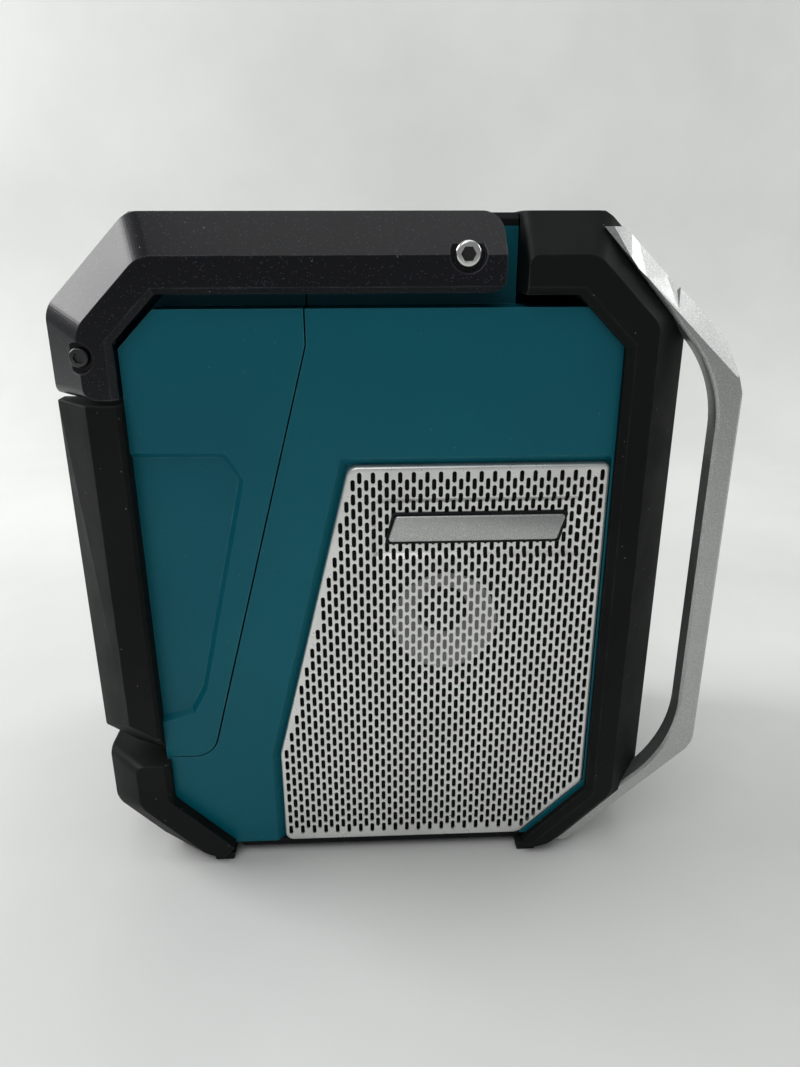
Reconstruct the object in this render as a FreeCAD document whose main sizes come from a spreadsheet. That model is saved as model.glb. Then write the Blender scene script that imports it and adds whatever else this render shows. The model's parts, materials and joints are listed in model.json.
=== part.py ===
import FreeCAD, Part
import math
import os
import Sketcher

# Jobsite radio with a folding bail handle, side speakers and silver front guards.
# +X is the front, +Z is up and the radio stands on Z = 0 with its middle over the origin.
# All sizes are real ones in millimetres.

SIZES = {
    # whole radio
    "overall_width": 163,      # across, over the side faces of the bumpers
    "overall_height": 300,     # floor to the top of the handle
    "rear_reach": 141.5,       # centre to the back of the bumpers
    "frame_reach": 117.9,      # centre to the front face of the front frame
    "guard_ahead": 23.6,       # the guards' front from the frame's face
    "facet": 16,               # slanted face along every outer bumper edge
    "bevel": 3,                # small slanted face along the inner bumper edges
    "bevel_fine": 2.4,         # the same on the arms and the lower bumper
    "bevel_bar": 1.8,          # the same on the rear bars
    "top_cut": 36,             # slanted upper corners, along each side
    "low_cut": 24.5,           # slanted lower corners, along each side
    "corner_round": 6,         # rounding where two outer edges meet
    "wall": 3,                 # moulded walls
    "slip": 0.4,               # clearance round a piece that lifts or slides out
    "run": 0.05,               # radial clearance of a pin or bolt in its bore
    # teal housing
    "flank_drop": 6.5,         # flank lies this far inside the bumper faces
    "flank_wall": 7,           # flank thickness, which holds the grille recess
    "housing_drop": 35.8,      # top of the radio down to the flanks' top edge
    "housing_foot": 7.5,       # lower edge of the flanks
    "shoulder_gap": 1,         # between an arm and the raised middle
    "shoulder_drop": 5.5,      # top of the radio down to the raised middle
    "core_behind": 8.9,        # housing's front face behind the frame's
    "core_cut_top": 31,        # slanted upper front corner of the housing
    "core_cut_low": 30,        # slanted lower front corner of the housing
    "bar_deep": 29.6,          # rear wall of housing and cover ahead of the bars' back
    "rear_low_cut": 21.9,      # slanted lower rear corner of the housing
    "rear_top_cut": 14.9,      # slanted upper rear corner of the cover's flanks
    # seam between housing and rear cover
    "seam_top": 38,            # seam's distance behind the centre at the top
    "seam_drop": 50,           # top of the radio down to where the seam starts to slant
    "seam_foot": 89.5,         # seam's distance behind the centre at its foot
    "seam_base": 58.4,         # height of the seam's level lower run
    "seam_gap": 0.6,
    "seam_round": 12,
    # pressed field on the rear cover's flanks
    "field_foot": 79.8,
    "field_drop": 95.2,        # top of the radio down to the field
    "field_low_back": 98.2,    # the lower slanted corner, behind the centre
    "field_low_rise": 4.6,
    "field_turn": 92,          # where the slanted front edge starts, behind the centre
    "field_turn_rise": 16.3,
    "field_front": 68.6,       # its front edge, behind the centre
    "field_corner": 6.1,       # width and height of the upper slanted corner
    "field_corner_drop": 10.2,
    "field_lean": 0.4,         # the upper edge falls by this towards the front
    "field_depth": 2.5,
    "field_slope": 2.3,
    # handle
    "arm_thick": 22.5,
    "arm_depth": 30,           # top of the radio down to an arm's underside
    "arm_ahead": 40.2,         # front end of an arm from the centre
    "arm_fall": 70,            # top of the radio down to an arm's lower end
    "arm_bar": 29,             # an arm's upright stretch, back to front
    "arm_inner_cut": 18,       # slant on the inside of an arm's corner
    "arm_end_round": 8,
    "arm_low_round": 6,
    "pivot_ahead": 25.3,       # pivot from the centre, towards the front
    "pivot_drop": 15.7,        # top of the radio down to the pivot
    "pivot_head": 5,           # bolt head radius
    "pivot_shank": 3,
    "pivot_sink": 4,           # depth of the counterbore round the head
    "pivot_sink_radius": 7.1,
    "pivot_bite": 12,          # the bolt goes this far into the raised middle
    "head_below": 0.6,         # the bolt's head ends this far inside the arm's face
    "head_soft": 0.8,
    "socket_radius": 2.6,
    "socket_depth": 2,
    "bush_wall": 1.4,
    "grip_screw_ahead": 15.5,  # screw from the back of the bumpers
    "grip_screw_drop": 53.5,   # top of the radio down to the screw
    "grip_screw_sink": 6.2,    # radius of its counterbore
    "grip_screw_bore": 2.2,
    "grip_screw_shank": 2.1,
    "grip_screw_bite": 14,     # the screw goes this far into the grip
    "grip_screw_head": 4,
    "grip_screw_rise": 2.2,
    "grip_screw_socket": 1.6,
    "grip_screw_floor": 0.8,
    "grip_deep": 24.5,         # back of the bumpers to the grip's face at the cover
    "grip_drop": 33,           # top of the radio down to the grip
    "grip_tall": 35,
    "grip_round": 8,
    # top cover
    "cover_below": 0.4,        # the cover ends this far under the handle's top
    "cover_bevel": 2.4,
    # front frame
    "frame_end": 48.5,         # rear end of the frame's upper stretch
    "frame_depth": 31,         # top of the radio down to the upper stretch's inner edge
    "frame_bar": 27.9,         # an upright, from the frame's face to its inner edge
    "frame_inner_cut": 20.5,
    "frame_foot": 4,           # underside of frame, bumper and base
    "frame_toe": 60.5,         # rear end of the frame's lower stretch
    "frame_toe_height": 6,
    "frame_side": 25.5,        # side of the radio to the opening in front
    "window_foot": 38,
    "window_drop": 47,         # top of the radio down to the opening in front
    "panel_step": 4.9,         # front panel lies this far behind the frame's face
    # guards
    "guard_inset": 5,          # side of the radio to a guard's outer face
    "guard_thick": 10.5,
    "guard_bar": 9.7,          # width of the upright bar seen from the side
    "guard_sweep": 54,         # radius inside the guard's two bends
    "guard_drop": 6,           # top of the radio down to the guards
    "guard_root": 9,           # run of a guard's upper end inside the frame
    "guard_low_root": 20,
    "guard_back": 7,           # its corners from its front, and from the frame's slants
    "guard_out": 10.5,
    "guard_in": 11.5,
    "guard_low_back": 3.5,
    "guard_low_out": 4,
    "guard_low_ease": 1,
    "guard_edge": 1.2,
    # rear bumper and bars
    "bar_foot": 62.5,
    "bar_drop": 72,            # top of the radio down to the rear bars
    "bar_cut": 14.5,           # slanted lower end of a bar, front to back
    "bar_cut_rise": 9.425,
    "bumper_top": 58,
    "bumper_toe": 82.5,
    "bumper_lap": 2,           # the bumper's inner edge past the rear wall
    "toe_heel": 5,             # small slants of the bumper's toe
    "toe_step": 2.5,
    # grille and speaker
    "grille_drop": 100.2,      # top of the radio down to the grille
    "grille_gap": 1.1,         # between the frame's upright and the grille
    "grille_back": 58.3,
    "grille_foot": 7.6,
    "grille_bend": 58,         # height where the rear edge starts to slant
    "grille_top_back": 22.6,
    "grille_sheet": 1.2,
    "grille_depth": 4,
    "grille_rim": 3.6,         # soft slant round the recess
    "grille_proud": 0.2,
    "grille_cut": 30.2,
    "grille_soft": 1.1,
    "grille_round": 3,
    "grille_low_round": 6,
    "slot_width": 2.8,
    "slot_height": 10,
    "slot_step": 8.6,
    "slot_row": 15,
    "plate_back": 13.5,        # pressed field near the grille's top
    "plate_front": 78.7,
    "plate_drop": 14.2,        # grille's top down to the pressed field
    "plate_tall": 27.6,
    "plate_depth": 2,
    "speaker_ahead": 20.5,
    "speaker_height": 122,
    "speaker_opening": 34,
    "speaker_flange": 39,
    "speaker_seat": 21.6,      # flange above the basket's floor
    "flange_thick": 2,
    "basket_floor": 19.2,      # hole in the basket's floor
    "basket_foot": 4,
    "cone_radius": 28.5,
    "cone_foot": 6,
    "cone_skin": 0.8,
    "cone_lip": 0.9,
    "surround_width": 4.5,
    "surround_rise": 3,
    "cap_radius": 12,
    "cap_rise": 4,
    "magnet_radius": 24,
    "magnet_thick": 14,
    # battery door and tray
    "door_half": 50,
    "door_foot": 68.4,
    "door_drop": 78.4,         # top of the radio down to the door's top edge
    "door_thick": 3.6,
    "door_proud": 1.6,
    "door_round": 4,
    "door_bevel": 1,
    "rib_foot": 96,
    "rib_step": 18,
    "rib_half": 34,
    "rib_tall": 3,
    "rib_proud": 0.9,
    "rib_root": 0.5,
    "scoop_half": 16,
    "scoop_top_half": 13,
    "scoop_foot": 16,          # door's top edge down to the scoop's two edges
    "scoop_top": 7,
    "scoop_depth": 1.6,
    "catch_half": 10,
    "catch_foot": 14,
    "catch_top": 1,
    "catch_thick": 0.7,
    "hinge_out": 3.8,          # pin behind the rear wall's face
    "hinge_height": 68,
    "hinge_pin": 1.6,
    "knuckle": 3.2,
    "ear_width": 6,
    "tray_half": 43,
    "tray_foot": 78,
    "tray_below": 9.6,         # door's top edge down to the tray's ceiling
    "tray_depth": 61,
    "tray_flange": 13,
    "tray_flange_rise": 14,
    "tray_flange_thick": 2,
    "terminal_half": 22,
    "terminal_tall": 18,
    "terminal_deep": 22,
    "blade_half": 1,
    "blade_tall": 7,
    "blade_deep": 14,
    "blade_back": 18,
    # front controls
    "lens_half": 38,
    "lens_drop": 31,           # opening's top down to the lens
    "lens_tall": 34,
    "lens_thick": 1.6,
    "lens_slip": 0.3,
    "lens_rim": 3,             # ledge that carries the lens
    "screen_inset": 1,
    "button_travel": 1.2,
    "button_width": 15,
    "button_tall": 8,
    "button_proud": 2,
    "button_soft": 1,
    "skirt": 1.4,
    "skirt_thick": 1.8,
    "skirt_gap": 0.2,
    "stem_radius": 1.8,
    "stem_gap": 2.2,
    "upper_drop": 16,          # lens down to the upper row of buttons
    "preset_drop": 18,         # upper row down to the lower row
    "preset_step": 22,
    "knob_drop": 42,           # lower row of buttons down to the knob
    "knob_radius": 19,
    "knob_depth": 13,
    "knob_gap": 0.6,           # between the knob and the panel
    "knob_taper": 0.8,
    "knob_bevel": 1.2,
    "knob_rim": 2,
    "knob_dish": 6,
    "knob_dish_depth": 1,
    "flute_radius": 1.6,
    "flute_out": 0.5,
    "shaft_radius": 3,
    "shaft_hole": 3.6,
    "encoder_half": 7,
    "flap_half": 28,
    "flap_rise": 11,           # opening's foot up to the terminal cover
    "flap_tall": 27,
    "flap_thick": 2.4,
    "flap_gap": 0.2,
    "flap_round": 4,
    "pull_half": 7,
    "pull_foot": 6,
    "pull_top": 3,
    "pull_proud": 1.2,
    "socket_side": 14,
    "socket_hole": 4.5,
    "socket_body": 4.3,
    "socket_flange": 6.5,
    "socket_deep": 8,
    "socket_rise": 7,
    "flange_deep": 7.6,
    "socket_bore_deep": 9,
    "aux_bore": 1.8,
    "dc_bore": 2.9,
    # feet, board and antenna
    "foot_length": 11,
    "foot_width": 14,
    "foot_draft": 1,
    "front_foot": 62,
    "rear_foot": 88.5,
    "foot_inset": 10,          # side of the radio to the middle of a foot
    "board_thick": 1.6,
    "board_gap": 9.4,
    "board_past": 10,          # board's edge past the lens, each side
    "board_above": 2,          # board's top edge above the lens
    "board_below": 16,         # board's lower edge under the knob's middle
    "post_radius": 3,
    "post_out": 6,            # posts past the lens, each side
    "post_below": 6,           # upper posts under the lens's top edge
    "post_above": 18,          # lower posts above the knob's middle
    "rod_radius": 5,
    "rod_back": 12,
    "rod_gap": 0.3,
    "rod_length": 84,
}

TOUCH = 0.02                 # two points this near are the same
FULL_TURN = 360
KNOB_FLUTES = 20
DOOR_RIBS = 5
PRESETS = 4
BLADE_SIDES = (-14, -5, 5, 14)   # contact blades, across from the middle

doc = FreeCAD.newDocument("jobsite_radio")
sheet = doc.addObject("Spreadsheet::Sheet", "Sizes")
for row, (alias, number) in enumerate(SIZES.items(), start=1):
    sheet.set("A%d" % row, alias.replace("_", " "))
    sheet.set("B%d" % row, str(number))
    sheet.setAlias("B%d" % row, alias)
doc.recompute()


class Size:
    """A number that remembers how it is worked out from the sheet."""

    def __init__(self, number, text):
        self.number = float(number)
        self.text = text

    def __add__(self, other):
        other = as_size(other)
        return Size(self.number + other.number, "(%s + %s)" % (self.text, other.text))

    def __sub__(self, other):
        other = as_size(other)
        return Size(self.number - other.number, "(%s - %s)" % (self.text, other.text))

    def __mul__(self, other):
        other = as_size(other)
        return Size(self.number * other.number, "(%s * %s)" % (self.text, other.text))

    def __truediv__(self, other):
        other = as_size(other)
        return Size(self.number / other.number, "(%s / %s)" % (self.text, other.text))

    def __radd__(self, other):
        return as_size(other) + self

    def __rsub__(self, other):
        return as_size(other) - self

    def __rmul__(self, other):
        return as_size(other) * self

    def __neg__(self):
        return Size(-self.number, "(0 - %s)" % self.text)


def as_size(value):
    if isinstance(value, Size):
        return value
    return Size(value, "(%.9g)" % value)


class Cells:
    """Every cell of the sheet as a Size, under its alias."""

    def __init__(self, names):
        for name in names:
            setattr(self, name, Size(sheet.get(name), "Sizes." + name))


s = Cells(SIZES)
half_width = s.overall_width / 2
flank = half_width - s.flank_drop
top = s.overall_height

# places that follow the faces they are measured from
s.guard_reach = s.frame_reach + s.guard_ahead
s.core_front = s.frame_reach - s.core_behind
s.frame_back = s.frame_reach - s.frame_bar
s.frame_under = top - s.frame_depth
s.window_half = half_width - s.frame_side
s.window_top = top - s.window_drop
s.guard_side = half_width - s.guard_inset
s.guard_top = top - s.guard_drop
s.housing_top = top - s.housing_drop
s.shoulder_top = top - s.shoulder_drop
s.seam_bend = top - s.seam_drop
s.rear_wall_face = s.rear_reach - s.bar_deep
s.bar_top = top - s.bar_drop
s.arm_inner = half_width - s.arm_thick
s.shoulder_half = s.arm_inner - s.shoulder_gap
s.arm_under = top - s.arm_depth
s.arm_foot = top - s.arm_fall
s.arm_back = s.rear_reach - s.arm_bar
s.pivot_height = top - s.pivot_drop
s.grip_screw_back = s.rear_reach - s.grip_screw_ahead
s.grip_screw_height = top - s.grip_screw_drop
s.grip_front = s.rear_reach - s.grip_deep
s.grip_top = top - s.grip_drop
s.grip_foot = s.grip_top - s.grip_tall
s.grille_top = top - s.grille_drop
s.grille_front = s.frame_back - s.grille_gap
s.plate_top = s.grille_top - s.plate_drop
s.plate_foot = s.plate_top - s.plate_tall
s.door_top = top - s.door_drop
s.tray_top = s.door_top - s.tray_below
s.hinge_back = s.rear_wall_face + s.hinge_out
s.lens_top = s.window_top - s.lens_drop
s.lens_foot = s.lens_top - s.lens_tall
s.upper_height = s.lens_foot - s.upper_drop
s.preset_height = s.upper_height - s.preset_drop
s.knob_height = s.preset_height - s.knob_drop
s.flap_foot = s.window_foot + s.flap_rise
s.flap_top = s.flap_foot + s.flap_tall
s.foot_side = half_width - s.foot_inset
s.post_side = s.lens_half + s.post_out


def point(x, y, z):
    return FreeCAD.Vector(*(as_size(part).number for part in (x, y, z)))


def edges_on(shape, path):
    """Names of the edges that lie along a path of 3-D points."""
    spots = [point(*place) for place in path]
    names = []
    for index, edge in enumerate(shape.Edges, start=1):
        ends = [vertex.Point for vertex in edge.Vertexes]
        for start, end in zip(spots, spots[1:]):
            near = [spot.distanceToLineSegment(start, end).Length < TOUCH for spot in ends]
            if len(ends) == 2 and all(near):
                names.append("Edge%d" % index)
                break
    if not names:
        raise RuntimeError("no edge along %s" % spots)
    return names


def across(corners, reach):
    """Paths across the radio's width through side-view corners."""
    return [[(x, -reach, z), (x, reach, z)] for x, z in corners]


def at_side(corners, side):
    """A path through side-view corners, on the plane Y = side."""
    return [(x, side, z) for x, z in corners]


class Piece:
    """One sub-part: a body with its own label, made feature by feature."""

    planes = {"side": "XZ_Plane", "front": "YZ_Plane", "plan": "XY_Plane"}

    def __init__(self, label):
        self.body = doc.addObject("PartDesign::Body", label)
        self.body.Label = label
        self.label = label
        self.last = None

    def sketch(self, plane, at):
        made = self.body.newObject("Sketcher::SketchObject", self.label + "_sketch")
        for origin in self.body.Origin.OriginFeatures:
            if origin.Role == self.planes[plane]:
                made.AttachmentSupport = (origin, [""])
        made.MapMode = "FlatFace"
        made.setExpression("AttachmentOffset.Base.z", as_size(at).text)
        return made

    def outline(self, plane, corners, at=0, sketch=None):
        """A closed outline whose corners are tied to the sheet."""
        made = sketch or self.sketch(plane, at)
        first = made.GeometryCount
        spots = [(as_size(a), as_size(b)) for a, b in corners]
        count = len(spots)
        for index, (a, b) in enumerate(spots):
            c, d = spots[(index + 1) % count]
            start = FreeCAD.Vector(a.number, b.number, 0)
            end = FreeCAD.Vector(c.number, d.number, 0)
            made.addGeometry(Part.LineSegment(start, end), False)
        for index in range(count):
            following = first + (index + 1) % count
            made.addConstraint(Sketcher.Constraint("Coincident", first + index, 2, following, 1))
        for index, (a, b) in enumerate(spots):
            self.tie(made, "DistanceX", first + index, a)
            self.tie(made, "DistanceY", first + index, b)
        return made

    def circle(self, plane, centre, radius, at=0, sketch=None):
        made = sketch or self.sketch(plane, at)
        across_, up = (as_size(value) for value in centre)
        radius = as_size(radius)
        middle = FreeCAD.Vector(across_.number, up.number, 0)
        ring = Part.Circle(middle, FreeCAD.Vector(0, 0, 1), radius.number)
        index = made.addGeometry(ring, False)
        self.tie(made, "DistanceX", index, across_, 3)
        self.tie(made, "DistanceY", index, up, 3)
        name = made.addConstraint(Sketcher.Constraint("Radius", index, radius.number))
        made.setExpression("Constraints[%d]" % name, radius.text)
        return made

    def tie(self, made, kind, index, value, end=1):
        limit = Sketcher.Constraint(kind, -1, 1, index, end, value.number)
        name = made.addConstraint(limit)
        made.setExpression("Constraints[%d]" % name, value.text)

    def feature(self, kind, profile, length, both, back):
        before = self.last.Shape.Volume if self.last else 0
        made = self.body.newObject("PartDesign::" + kind, self.label + "_" + kind.lower())
        made.Profile = profile
        made.setExpression("Length", as_size(length).text)
        if both:
            made.SideType = "Symmetric"
        made.Reversed = back
        profile.Visibility = False
        self.finish(made)
        grown = made.Shape.Volume - before
        if (kind == "Pad") != (grown > 0):
            raise RuntimeError("%s: a %s did nothing" % (self.label, kind))
        return self

    def finish(self, made):
        doc.recompute()
        if made.State and set(made.State) & {"Invalid", "Error"}:
            raise RuntimeError("%s: %s failed" % (self.label, made.Name))
        self.last = made

    def pad(self, profile, length, both=False, back=False):
        return self.feature("Pad", profile, length, both, back)

    def cut(self, profile, length, both=False, back=False):
        return self.feature("Pocket", profile, length, both, back)

    def dress(self, kind, value, paths):
        names = []
        for path in paths:
            names += [name for name in edges_on(self.last.Shape, path) if name not in names]
        made = self.body.newObject("PartDesign::" + kind, self.label + "_" + kind.lower())
        made.Base = (self.last, names)
        made.setExpression("Size" if kind == "Chamfer" else "Radius", as_size(value).text)
        self.finish(made)
        return self

    def chamfer(self, size, *paths):
        return self.dress("Chamfer", size, paths)

    def fillet(self, radius, *paths):
        return self.dress("Fillet", radius, paths)

    def round_off(self, corner, radius, rise, face):
        """Round a front corner right across a right-hand piece; rise is 1 for an upper one."""
        x, z = corner
        start = (x - radius, z)
        end = (x, z - radius * rise)
        made = self.outline("side", [start, corner, end], face)
        made.delGeometry(2)
        middle = point(x - radius, z - radius * rise, 0)
        low, high = (0, math.pi / 2) if rise > 0 else (-math.pi / 2, 0)
        circle = Part.Circle(FreeCAD.Vector(middle.x, middle.y, 0), FreeCAD.Vector(0, 0, 1),
                             as_size(radius).number)
        arc = made.addGeometry(Part.ArcOfCircle(circle, low, high), False)
        first, last = (2, 1) if rise > 0 else (1, 2)
        made.addConstraint(Sketcher.Constraint("Coincident", 0, 1, arc, first))
        made.addConstraint(Sketcher.Constraint("Coincident", 1, 2, arc, last))
        name = made.addConstraint(Sketcher.Constraint("Radius", arc, as_size(radius).number))
        made.setExpression("Constraints[%d]" % name, as_size(radius).text)
        return self.cut(made, face)

    def turn(self, corners):
        """A round piece about its own Z axis from (radius, height) corners."""
        profile = self.outline("side", corners)
        made = self.body.newObject("PartDesign::Revolution", self.label + "_turn")
        made.Profile = profile
        made.ReferenceAxis = (profile, ["V_Axis"])
        made.Angle = FULL_TURN
        self.finish(made)
        return self

    def place(self, facing, x, y, z):
        """Put a piece made about its own origin where it belongs."""
        turns = {"side": (1, 0, 0), "front": (0, 1, 0)}
        if facing in turns:
            axis = FreeCAD.Vector(*turns[facing])
            self.body.Placement.Rotation = FreeCAD.Rotation(axis, 90)
        for name, value in (("x", x), ("y", y), ("z", z)):
            self.body.setExpression("Placement.Base." + name, as_size(value).text)
        doc.recompute()
        return self


parts = {}


def keep(label, made):
    made.Label = label
    parts[label] = made
    return made


def keep_pair(name, made):
    """Keep a right-hand piece and its mirror image on the left."""
    keep(name + "_right", made)
    twin = doc.addObject("Part::Mirroring", name + "_left")
    twin.Source = made
    twin.Normal = FreeCAD.Vector(0, 1, 0)
    keep(name + "_left", twin)
    doc.recompute()


def combine(kind, name, first, *others):
    """A boolean of whole bodies."""
    made = doc.addObject("Part::" + kind, name)
    if kind == "Cut":
        made.Base, made.Tool = first, others[0]
    else:
        made.Shapes = [first, *others]
    doc.recompute()
    return made


def group(name, *members):
    """Like pieces that share one node as separate solids."""
    made = doc.addObject("Part::Compound", name)
    made.Links = list(members)
    doc.recompute()
    return keep(name, made)


def seam_line(gap):
    """The seam's corners from its foot to its top, set back by gap."""
    return [
        (-(s.seam_foot + gap), s.seam_base + gap),
        (-(s.seam_top + gap), s.seam_bend),
        (-(s.seam_top + gap), s.housing_top),
    ]


def block(piece, x_range, y_range, z_range, both=False):
    """Pad a box; both means that y_range is one width about the middle plane."""
    x_low, x_high = x_range
    z_low, z_high = z_range
    corners = [(x_low, z_low), (x_high, z_low), (x_high, z_high), (x_low, z_high)]
    if both:
        return piece.pad(piece.outline("side", corners), y_range, both=True)
    inner, outer = y_range
    return piece.pad(piece.outline("side", corners, inner), outer - inner)


# housing: two flanks joined by walls, with a raised middle for the handle's pivots

def grille_outline(grow):
    """Corners of the grille seen from the side, grown by a clearance."""
    low_front = s.grille_front + grow
    return [
        (-(s.grille_back + grow), s.grille_foot - grow),
        (s.grille_front - s.grille_cut, s.grille_foot - grow),
        (low_front, s.grille_foot + s.grille_cut + grow),
        (low_front, s.grille_top + grow),
        (-(s.grille_top_back + grow), s.grille_top + grow),
        (-(s.grille_back + grow), s.grille_bend),
    ]


def make_main_housing():
    foot = s.housing_foot
    back = -s.rear_wall_face
    front = s.core_front
    seam = seam_line(0)
    wide = [
        (back + s.rear_low_cut, foot),
        (front - s.core_cut_low, foot),
        (front, foot + s.core_cut_low),
        (front, s.housing_top - s.core_cut_top),
        (front - s.core_cut_top, s.housing_top),
        (-s.seam_top, s.housing_top),
        (-s.seam_top, s.seam_bend),
        (-s.seam_foot, s.seam_base),
        (back, s.seam_base),
        (back, foot + s.rear_low_cut),
    ]
    piece = Piece("main_housing")
    piece.pad(piece.outline("side", wide), flank * 2, both=True)
    piece.fillet(s.seam_round, *across([seam[0]], flank))
    raised = [
        (-s.seam_top, s.seam_bend),
        (s.frame_end - s.slip, s.seam_bend),
        (s.frame_end - s.slip, s.shoulder_top),
        (-s.seam_top, s.shoulder_top),
    ]
    piece.pad(piece.outline("side", raised), s.shoulder_half * 2, both=True)
    wall = s.wall
    hollow = [
        (back + s.rear_low_cut + wall, foot + wall),
        (front - s.core_cut_low - wall, foot + wall),
        (front - wall, foot + s.core_cut_low + wall),
        (front - wall, s.housing_top - s.core_cut_top - wall),
        (front - s.core_cut_top - wall, s.housing_top - wall),
        (-(s.seam_top + wall), s.housing_top - wall),
        (-(s.seam_foot + wall), s.seam_base - wall),
        (back + wall, s.seam_base - wall),
        (back + wall, foot + s.rear_low_cut + wall),
    ]
    inside = (flank - s.flank_wall) * 2
    piece.cut(piece.outline("side", hollow), inside, both=True)
    pivot_block = s.pivot_ahead - s.pivot_sink_radius * 2
    loft = [
        (-(s.seam_top + wall), s.housing_top - wall * 2),
        (pivot_block, s.housing_top - wall * 2),
        (pivot_block, s.shoulder_top - wall),
        (-(s.seam_top + wall), s.shoulder_top - wall),
    ]
    piece.cut(piece.outline("side", loft), (s.shoulder_half - wall) * 2, both=True)
    # recess for the grille on each flank, with a soft rim above and behind it
    recess = grille_outline(s.slip)
    for direction in (1, -1):
        at = flank if direction > 0 else -flank
        made = piece.outline("side", recess, at)
        piece.cut(made, s.grille_depth, back=direction < 0)
        rim = at_side([recess[3], recess[4], recess[5], recess[0]], as_size(-1 * direction) * flank)
        piece.chamfer(s.grille_rim, rim)
    ring = piece.circle("side", (s.speaker_ahead, s.speaker_height), s.speaker_opening)
    piece.cut(ring, flank * 2, both=True)
    bore = s.pivot_shank + s.run
    made = piece.circle("side", (s.pivot_ahead, s.pivot_height), bore)
    piece.cut(made, s.shoulder_half * 2, both=True)
    # opening in front for the controls
    half = s.post_side + s.post_radius + wall
    low, high = s.window_foot + wall * 2, s.housing_top - s.core_cut_top - wall * 2
    opening = [(-half, low), (half, low), (half, high), (-half, high)]
    piece.cut(piece.outline("front", opening, front), wall * 2)
    keep("main_housing", piece.body)


def make_rear_cover():
    back = -s.rear_wall_face
    seam = seam_line(s.seam_gap)
    wide = [
        seam[0],
        seam[1],
        seam[2],
        (back + s.rear_top_cut, s.housing_top),
        (back, s.housing_top - s.rear_top_cut),
        (back, s.seam_base + s.seam_gap),
    ]
    piece = Piece("rear_cover")
    piece.pad(piece.outline("side", wide), flank * 2, both=True)
    piece.fillet(s.seam_round - s.seam_gap, *across([seam[0]], flank))
    rise = s.shoulder_top - s.housing_top
    raised = [
        (back, s.seam_bend),
        (-(s.seam_top + s.seam_gap), s.seam_bend),
        (-(s.seam_top + s.seam_gap), s.shoulder_top),
        (back + rise - s.wall * 2, s.shoulder_top),
        (back, s.housing_top + s.wall * 2),
    ]
    piece.pad(piece.outline("side", raised), s.shoulder_half * 2, both=True)
    wall = s.wall
    hollow = [
        (-(s.seam_foot - wall), s.seam_base + s.seam_gap + wall),
        (-(s.seam_top - wall * 2), s.seam_bend),
        (-(s.seam_top - wall * 2), s.housing_top - wall),
        (back + s.rear_top_cut + wall, s.housing_top - wall),
        (back + wall, s.housing_top - s.rear_top_cut - wall),
        (back + wall, s.seam_base + s.seam_gap + wall),
    ]
    piece.cut(piece.outline("side", hollow), (flank - s.flank_wall) * 2, both=True)
    loft = [
        (back + wall * 4, s.housing_top - wall * 2),
        (-(s.seam_top - wall), s.housing_top - wall * 2),
        (-(s.seam_top - wall), s.shoulder_top - wall),
        (back + rise, s.shoulder_top - wall),
        (back + wall * 4, s.housing_top),
    ]
    piece.cut(piece.outline("side", loft), (s.shoulder_half - wall) * 2, both=True)
    # pressed field on each flank, open towards the bar
    field_top = top - s.field_drop
    field = [
        (back - 1, s.field_foot),
        (-s.field_low_back, s.field_foot + s.field_low_rise),
        (-s.field_turn, s.field_foot + s.field_turn_rise),
        (-s.field_front, field_top - s.field_corner_drop),
        (-(s.field_front + s.field_corner), field_top - s.field_lean),
        (back - 1, field_top),
    ]
    for direction in (1, -1):
        at = flank if direction > 0 else -flank
        piece.cut(piece.outline("side", field, at), s.field_depth, back=direction < 0)
        piece.chamfer(s.field_slope, at_side(field, as_size(-1 * direction) * flank))
    # doorway in the rear wall, and an ear each side for the door's pin
    door = s.door_half + s.slip
    doorway = [
        (-door, s.door_foot - s.slip),
        (door, s.door_foot - s.slip),
        (door, s.door_top + s.slip),
        (-door, s.door_top + s.slip),
    ]
    piece.cut(piece.outline("front", doorway, back + wall * 2), wall * 4)
    for direction in (1, -1):
        inner = s.door_half - s.ear_width
        ear = [
            (-(s.hinge_back + s.knuckle), s.hinge_height - s.knuckle),
            (back + wall, s.hinge_height - s.knuckle),
            (back + wall, s.hinge_height + s.knuckle),
            (-(s.hinge_back + s.knuckle), s.hinge_height + s.knuckle),
        ]
        at = inner if direction > 0 else -inner
        piece.pad(piece.outline("side", ear, at), s.ear_width, back=direction < 0)
        lip = (-(s.hinge_back + s.knuckle), s.hinge_height + s.knuckle)
        low = (-(s.hinge_back + s.knuckle), s.hinge_height - s.knuckle)
        ends = sorted((as_size(at).number, as_size(at).number + direction * s.ear_width.number))
        rows = [[(x, -ends[0], z), (x, -ends[1], z)] for x, z in (lip, low)]
        piece.fillet(s.knuckle - s.slip, *rows)
    pin = piece.circle("side", (-s.hinge_back, s.hinge_height), s.hinge_pin + s.run)
    piece.cut(pin, s.door_half * 2 + 2, both=True)
    keep("rear_cover", piece.body)


def make_top_cover():
    piece = Piece("top_cover")
    lift = top - s.cover_below
    back = -(s.rear_wall_face - (s.shoulder_top - s.housing_top) + s.wall * 2)
    front = s.frame_end - s.slip
    block(piece, (back, front), s.shoulder_half * 2, (s.shoulder_top, lift), both=True)
    rear_edge = [(back, -s.shoulder_half, lift), (back, s.shoulder_half, lift)]
    sides = [[(back, side, lift), (front, side, lift)] for side in (-s.shoulder_half, s.shoulder_half)]
    piece.chamfer(s.cover_bevel, rear_edge, *sides)
    keep("top_cover", piece.body)


def make_base_plate():
    piece = Piece("base_plate")
    back = -(s.bumper_toe - 1)
    front = s.frame_toe - 1
    block(piece, (back, front), (flank - 1) * 2, (s.frame_foot, s.housing_foot), both=True)
    rows = [[(x, -flank, s.frame_foot), (x, flank, s.frame_foot)] for x in (back, front)]
    piece.chamfer(2, *rows)
    keep("base_plate", piece.body)


# bumpers, frame and guards

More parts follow.
